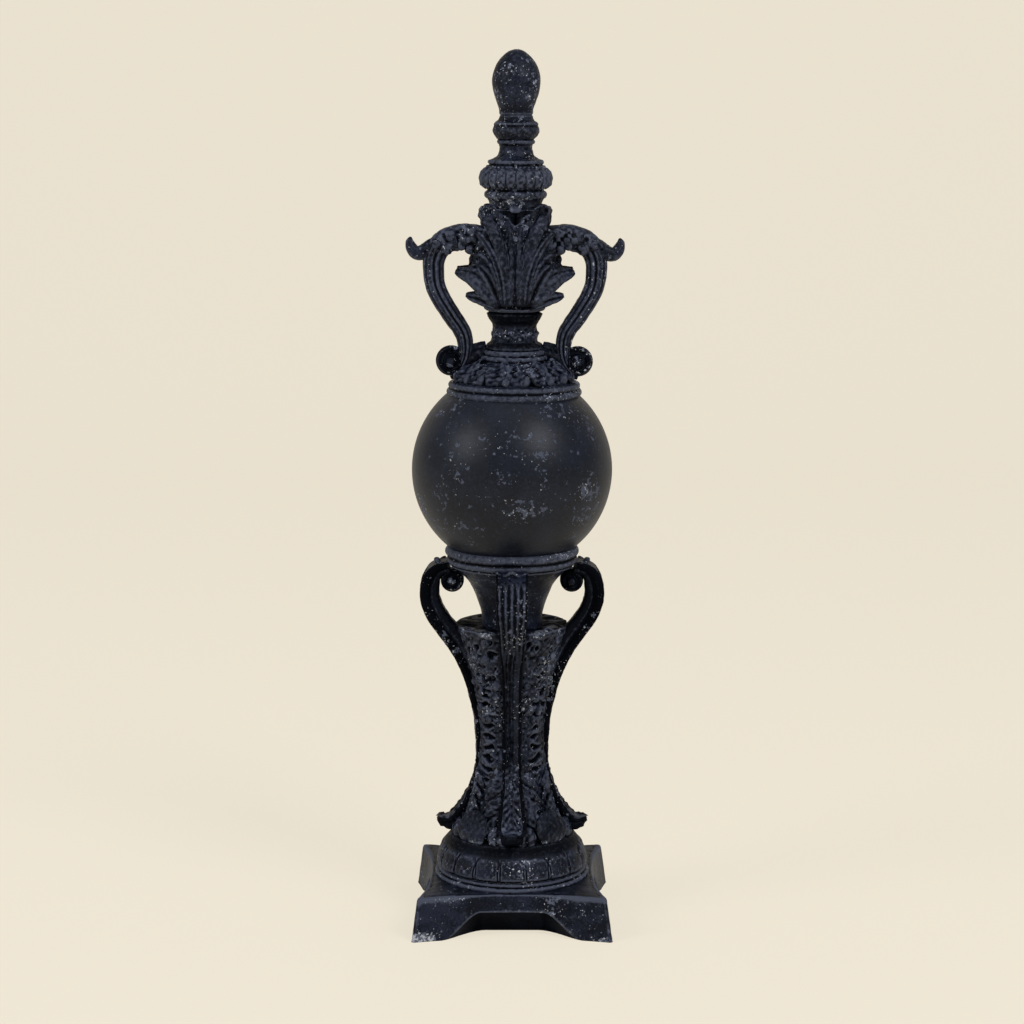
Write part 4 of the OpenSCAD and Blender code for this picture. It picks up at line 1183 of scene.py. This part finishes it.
def ball_shell():
    """Smooth ball with the faint dents of a hand-sanded casting, chipped in a band over its front, along a
    streak low on the right, and in a few worn places behind."""
    t = np.radians(np.linspace(-90, 90, 181)[1:-1])
    profile = np.stack([BALL_R * np.cos(t), ball_mid[2] + BALL_R * np.sin(t)], axis=1)

    def carve(angle, height, grid):
        return 0.06 * rough(grid, 11, 5) - 0.07

    def wear_and_shade(grid):
        turn = np.degrees(np.arctan2(grid[..., 1], grid[..., 0]))
        high = grid[..., 2] - ball_mid[2]
        most = 0
        for round_at, at_height, wide, tall, depth in CHIPPED_PLACES:
            away = ((turn - round_at + 180) % 360 - 180) / wide
            most = np.maximum(most, depth * np.exp(-away ** 2 - ((high - at_height) / tall) ** 2))
        return most

    return turned(profile, 360, carve, step=1.0, wear_and_shade=wear_and_shade)


# ---- Pieces ----

def finished(piece, finish, node):
    """Gives a piece its finish, and sets it on the frame in place of a node."""
    piece.data.materials.clear()
    piece.data.materials.append(finish)
    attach(piece, "root")
    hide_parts(node)


pedestal_pieces = [
    cast("plinth", plinth_shell()),
    cast("cushion_of_petals", cushion_shell()),
    cast("leafed_shaft", shaft_shell()),
    cast("vase_and_cup_ring", vase_shell()),
    ring_of("shaft_leaves", shaft_leaves_master(), 4, CASTING),
    ring_of("scroll_brackets", bracket_master(), 4, CASTING),
]
ball_piece = cast("ball_smooth", ball_shell())
crown_ringed = [
    ring_of("handles", handle_master(), 2, CASTING),
    ring_of("gadroons", gadroon_master(), GADROONS, CASTING, unevenness=0.012),
    ring_of("bead_row", bead_master(), BEADS, CASTING, unevenness=0.02),
    ring_of("folded_leaf_tips", cast("tip", folded_tip()), 2, CASTING),
    ring_of("dome_leaves", dome_leaf_master(), DOME_LEAVES, CASTING, first=TAU / 16, unevenness=0.02),
]
for piece in crown_ringed:
    lean_mesh(piece)
crown_pieces = [
    cast("collar_dome_and_neck", base_shell(), crown=True),
    cast("leaf_calyx", calyx_shell(), crown=True),
    cast("knob_core", knob_shell(), crown=True),
    cast("bud", bud_shell(), crown=True),
    *crown_ringed,
]
for piece in pedestal_pieces:
    finished(piece, CASTING, "pedestal")
for piece in crown_pieces:
    finished(piece, CASTING, "crown")
finished(ball_piece, BALL_COAT, "ball")


# ---- Floor, light and camera ----

def studio():
    """Cream sheet that runs from the floor up behind the finial in one sweep. It glows to the camera, and
    less in a reflection, so that it stays cream where little light falls."""
    cream = colour("#f3ead7")
    material = bpy.data.materials.new("cream paper backdrop")
    material.use_nodes = True
    tree = material.node_tree
    tree.nodes.clear()
    paper = add(tree, "ShaderNodeBsdfDiffuse", {"Color": cream})
    glow = add(tree, "ShaderNodeEmission", {"Color": cream, "Strength": 1.0})
    rays = add(tree, "ShaderNodeLightPath").outputs
    reflected = add(tree, "ShaderNodeMath", {0: rays["Is Glossy Ray"], 1: 0.4}, operation="MULTIPLY")
    seen = add(tree, "ShaderNodeMath", {
        0: rays["Is Camera Ray"], 1: reflected.outputs[0],
    }, operation="MAXIMUM")
    share = add(tree, "ShaderNodeMath", {0: seen.outputs[0], 1: 0.80}, operation="MULTIPLY")
    both = add(tree, "ShaderNodeMixShader", {0: share.outputs[0], 1: paper.outputs[0], 2: glow.outputs[0]})
    add(tree, "ShaderNodeOutputMaterial", {"Surface": both.outputs[0]})
    # In metres: where the floor starts and ends, the bend behind it, and the sheet's height and half width
    near = -3.0
    far = 1.6
    bend = 0.8
    tall = 3.0
    half = 4.0
    line = [(near, 0.0), (far, 0.0)]
    for t in np.linspace(0.1, math.pi / 2, 14):
        line.append((far + bend * math.sin(t), bend - bend * math.cos(t)))
    line.append((far + bend, tall))
    points = [(x, y, z) for y, z in line for x in (-half, half)]
    faces = [(2 * i, 2 * i + 1, 2 * i + 3, 2 * i + 2) for i in range(len(line) - 1)]
    mesh = bpy.data.meshes.new("backdrop")
    mesh.from_pydata(points, [], faces)
    mesh.shade_smooth()
    mesh.materials.append(material)
    sheet = bpy.data.objects.new("backdrop", mesh)
    bpy.context.scene.collection.objects.link(sheet)


def softbox(name, place, width, height, watts, target):
    """Soft rectangular lamp turned to its target. Places and sizes are in metres."""
    data = bpy.data.lights.new(name, "AREA")
    data.shape = "RECTANGLE"
    data.size = width
    data.size_y = height
    data.energy = watts
    lamp = bpy.data.objects.new(name, data)
    lamp.location = place
    lamp.rotation_euler = (Vector(target) - Vector(place)).to_track_quat("-Z", "Y").to_euler()
    bpy.context.scene.collection.objects.link(lamp)


studio()
middle = (0, 0, 0.28)
softbox("left softbox", (-1.75, -1.0, 1.45), 0.9, 1.0, 19, middle)
softbox("right softbox", (1.25, -1.45, 1.85), 0.9, 1.0, 27, middle)
softbox("overhead sheet", (0, -0.3, 2.6), 1.8, 1.8, 6, middle)

world = bpy.data.worlds.new("studio")
bpy.context.scene.world = world
world.use_nodes = True
world_tree = world.node_tree
world_tree.nodes.clear()
sky = add(world_tree, "ShaderNodeBackground", {"Color": colour("#dfe8fc"), "Strength": 0.36})
add(world_tree, "ShaderNodeOutputWorld", {"Surface": sky.outputs[0]})

# Camera in front of the finial, in metres, with its lens in millimetres
CAMERA_AWAY = 1.490
CAMERA_UP = 0.4911
CAMERA_PITCH = math.radians(9.637)
CAMERA_SENSOR = 36
CAMERA_LENS = 92.66
camera_data = bpy.data.cameras.new("camera")
camera_data.sensor_width = CAMERA_SENSOR
camera_data.lens = CAMERA_LENS
camera = bpy.data.objects.new("camera", camera_data)
camera.location = (ball_mid[0] * MM, ball_mid[1] * MM - CAMERA_AWAY, CAMERA_UP)
camera.rotation_euler = (math.pi / 2 - CAMERA_PITCH, 0, 0)
bpy.context.scene.collection.objects.link(camera)
bpy.context.scene.camera = camera
bpy.context.scene.view_settings.view_transform = "Standard"
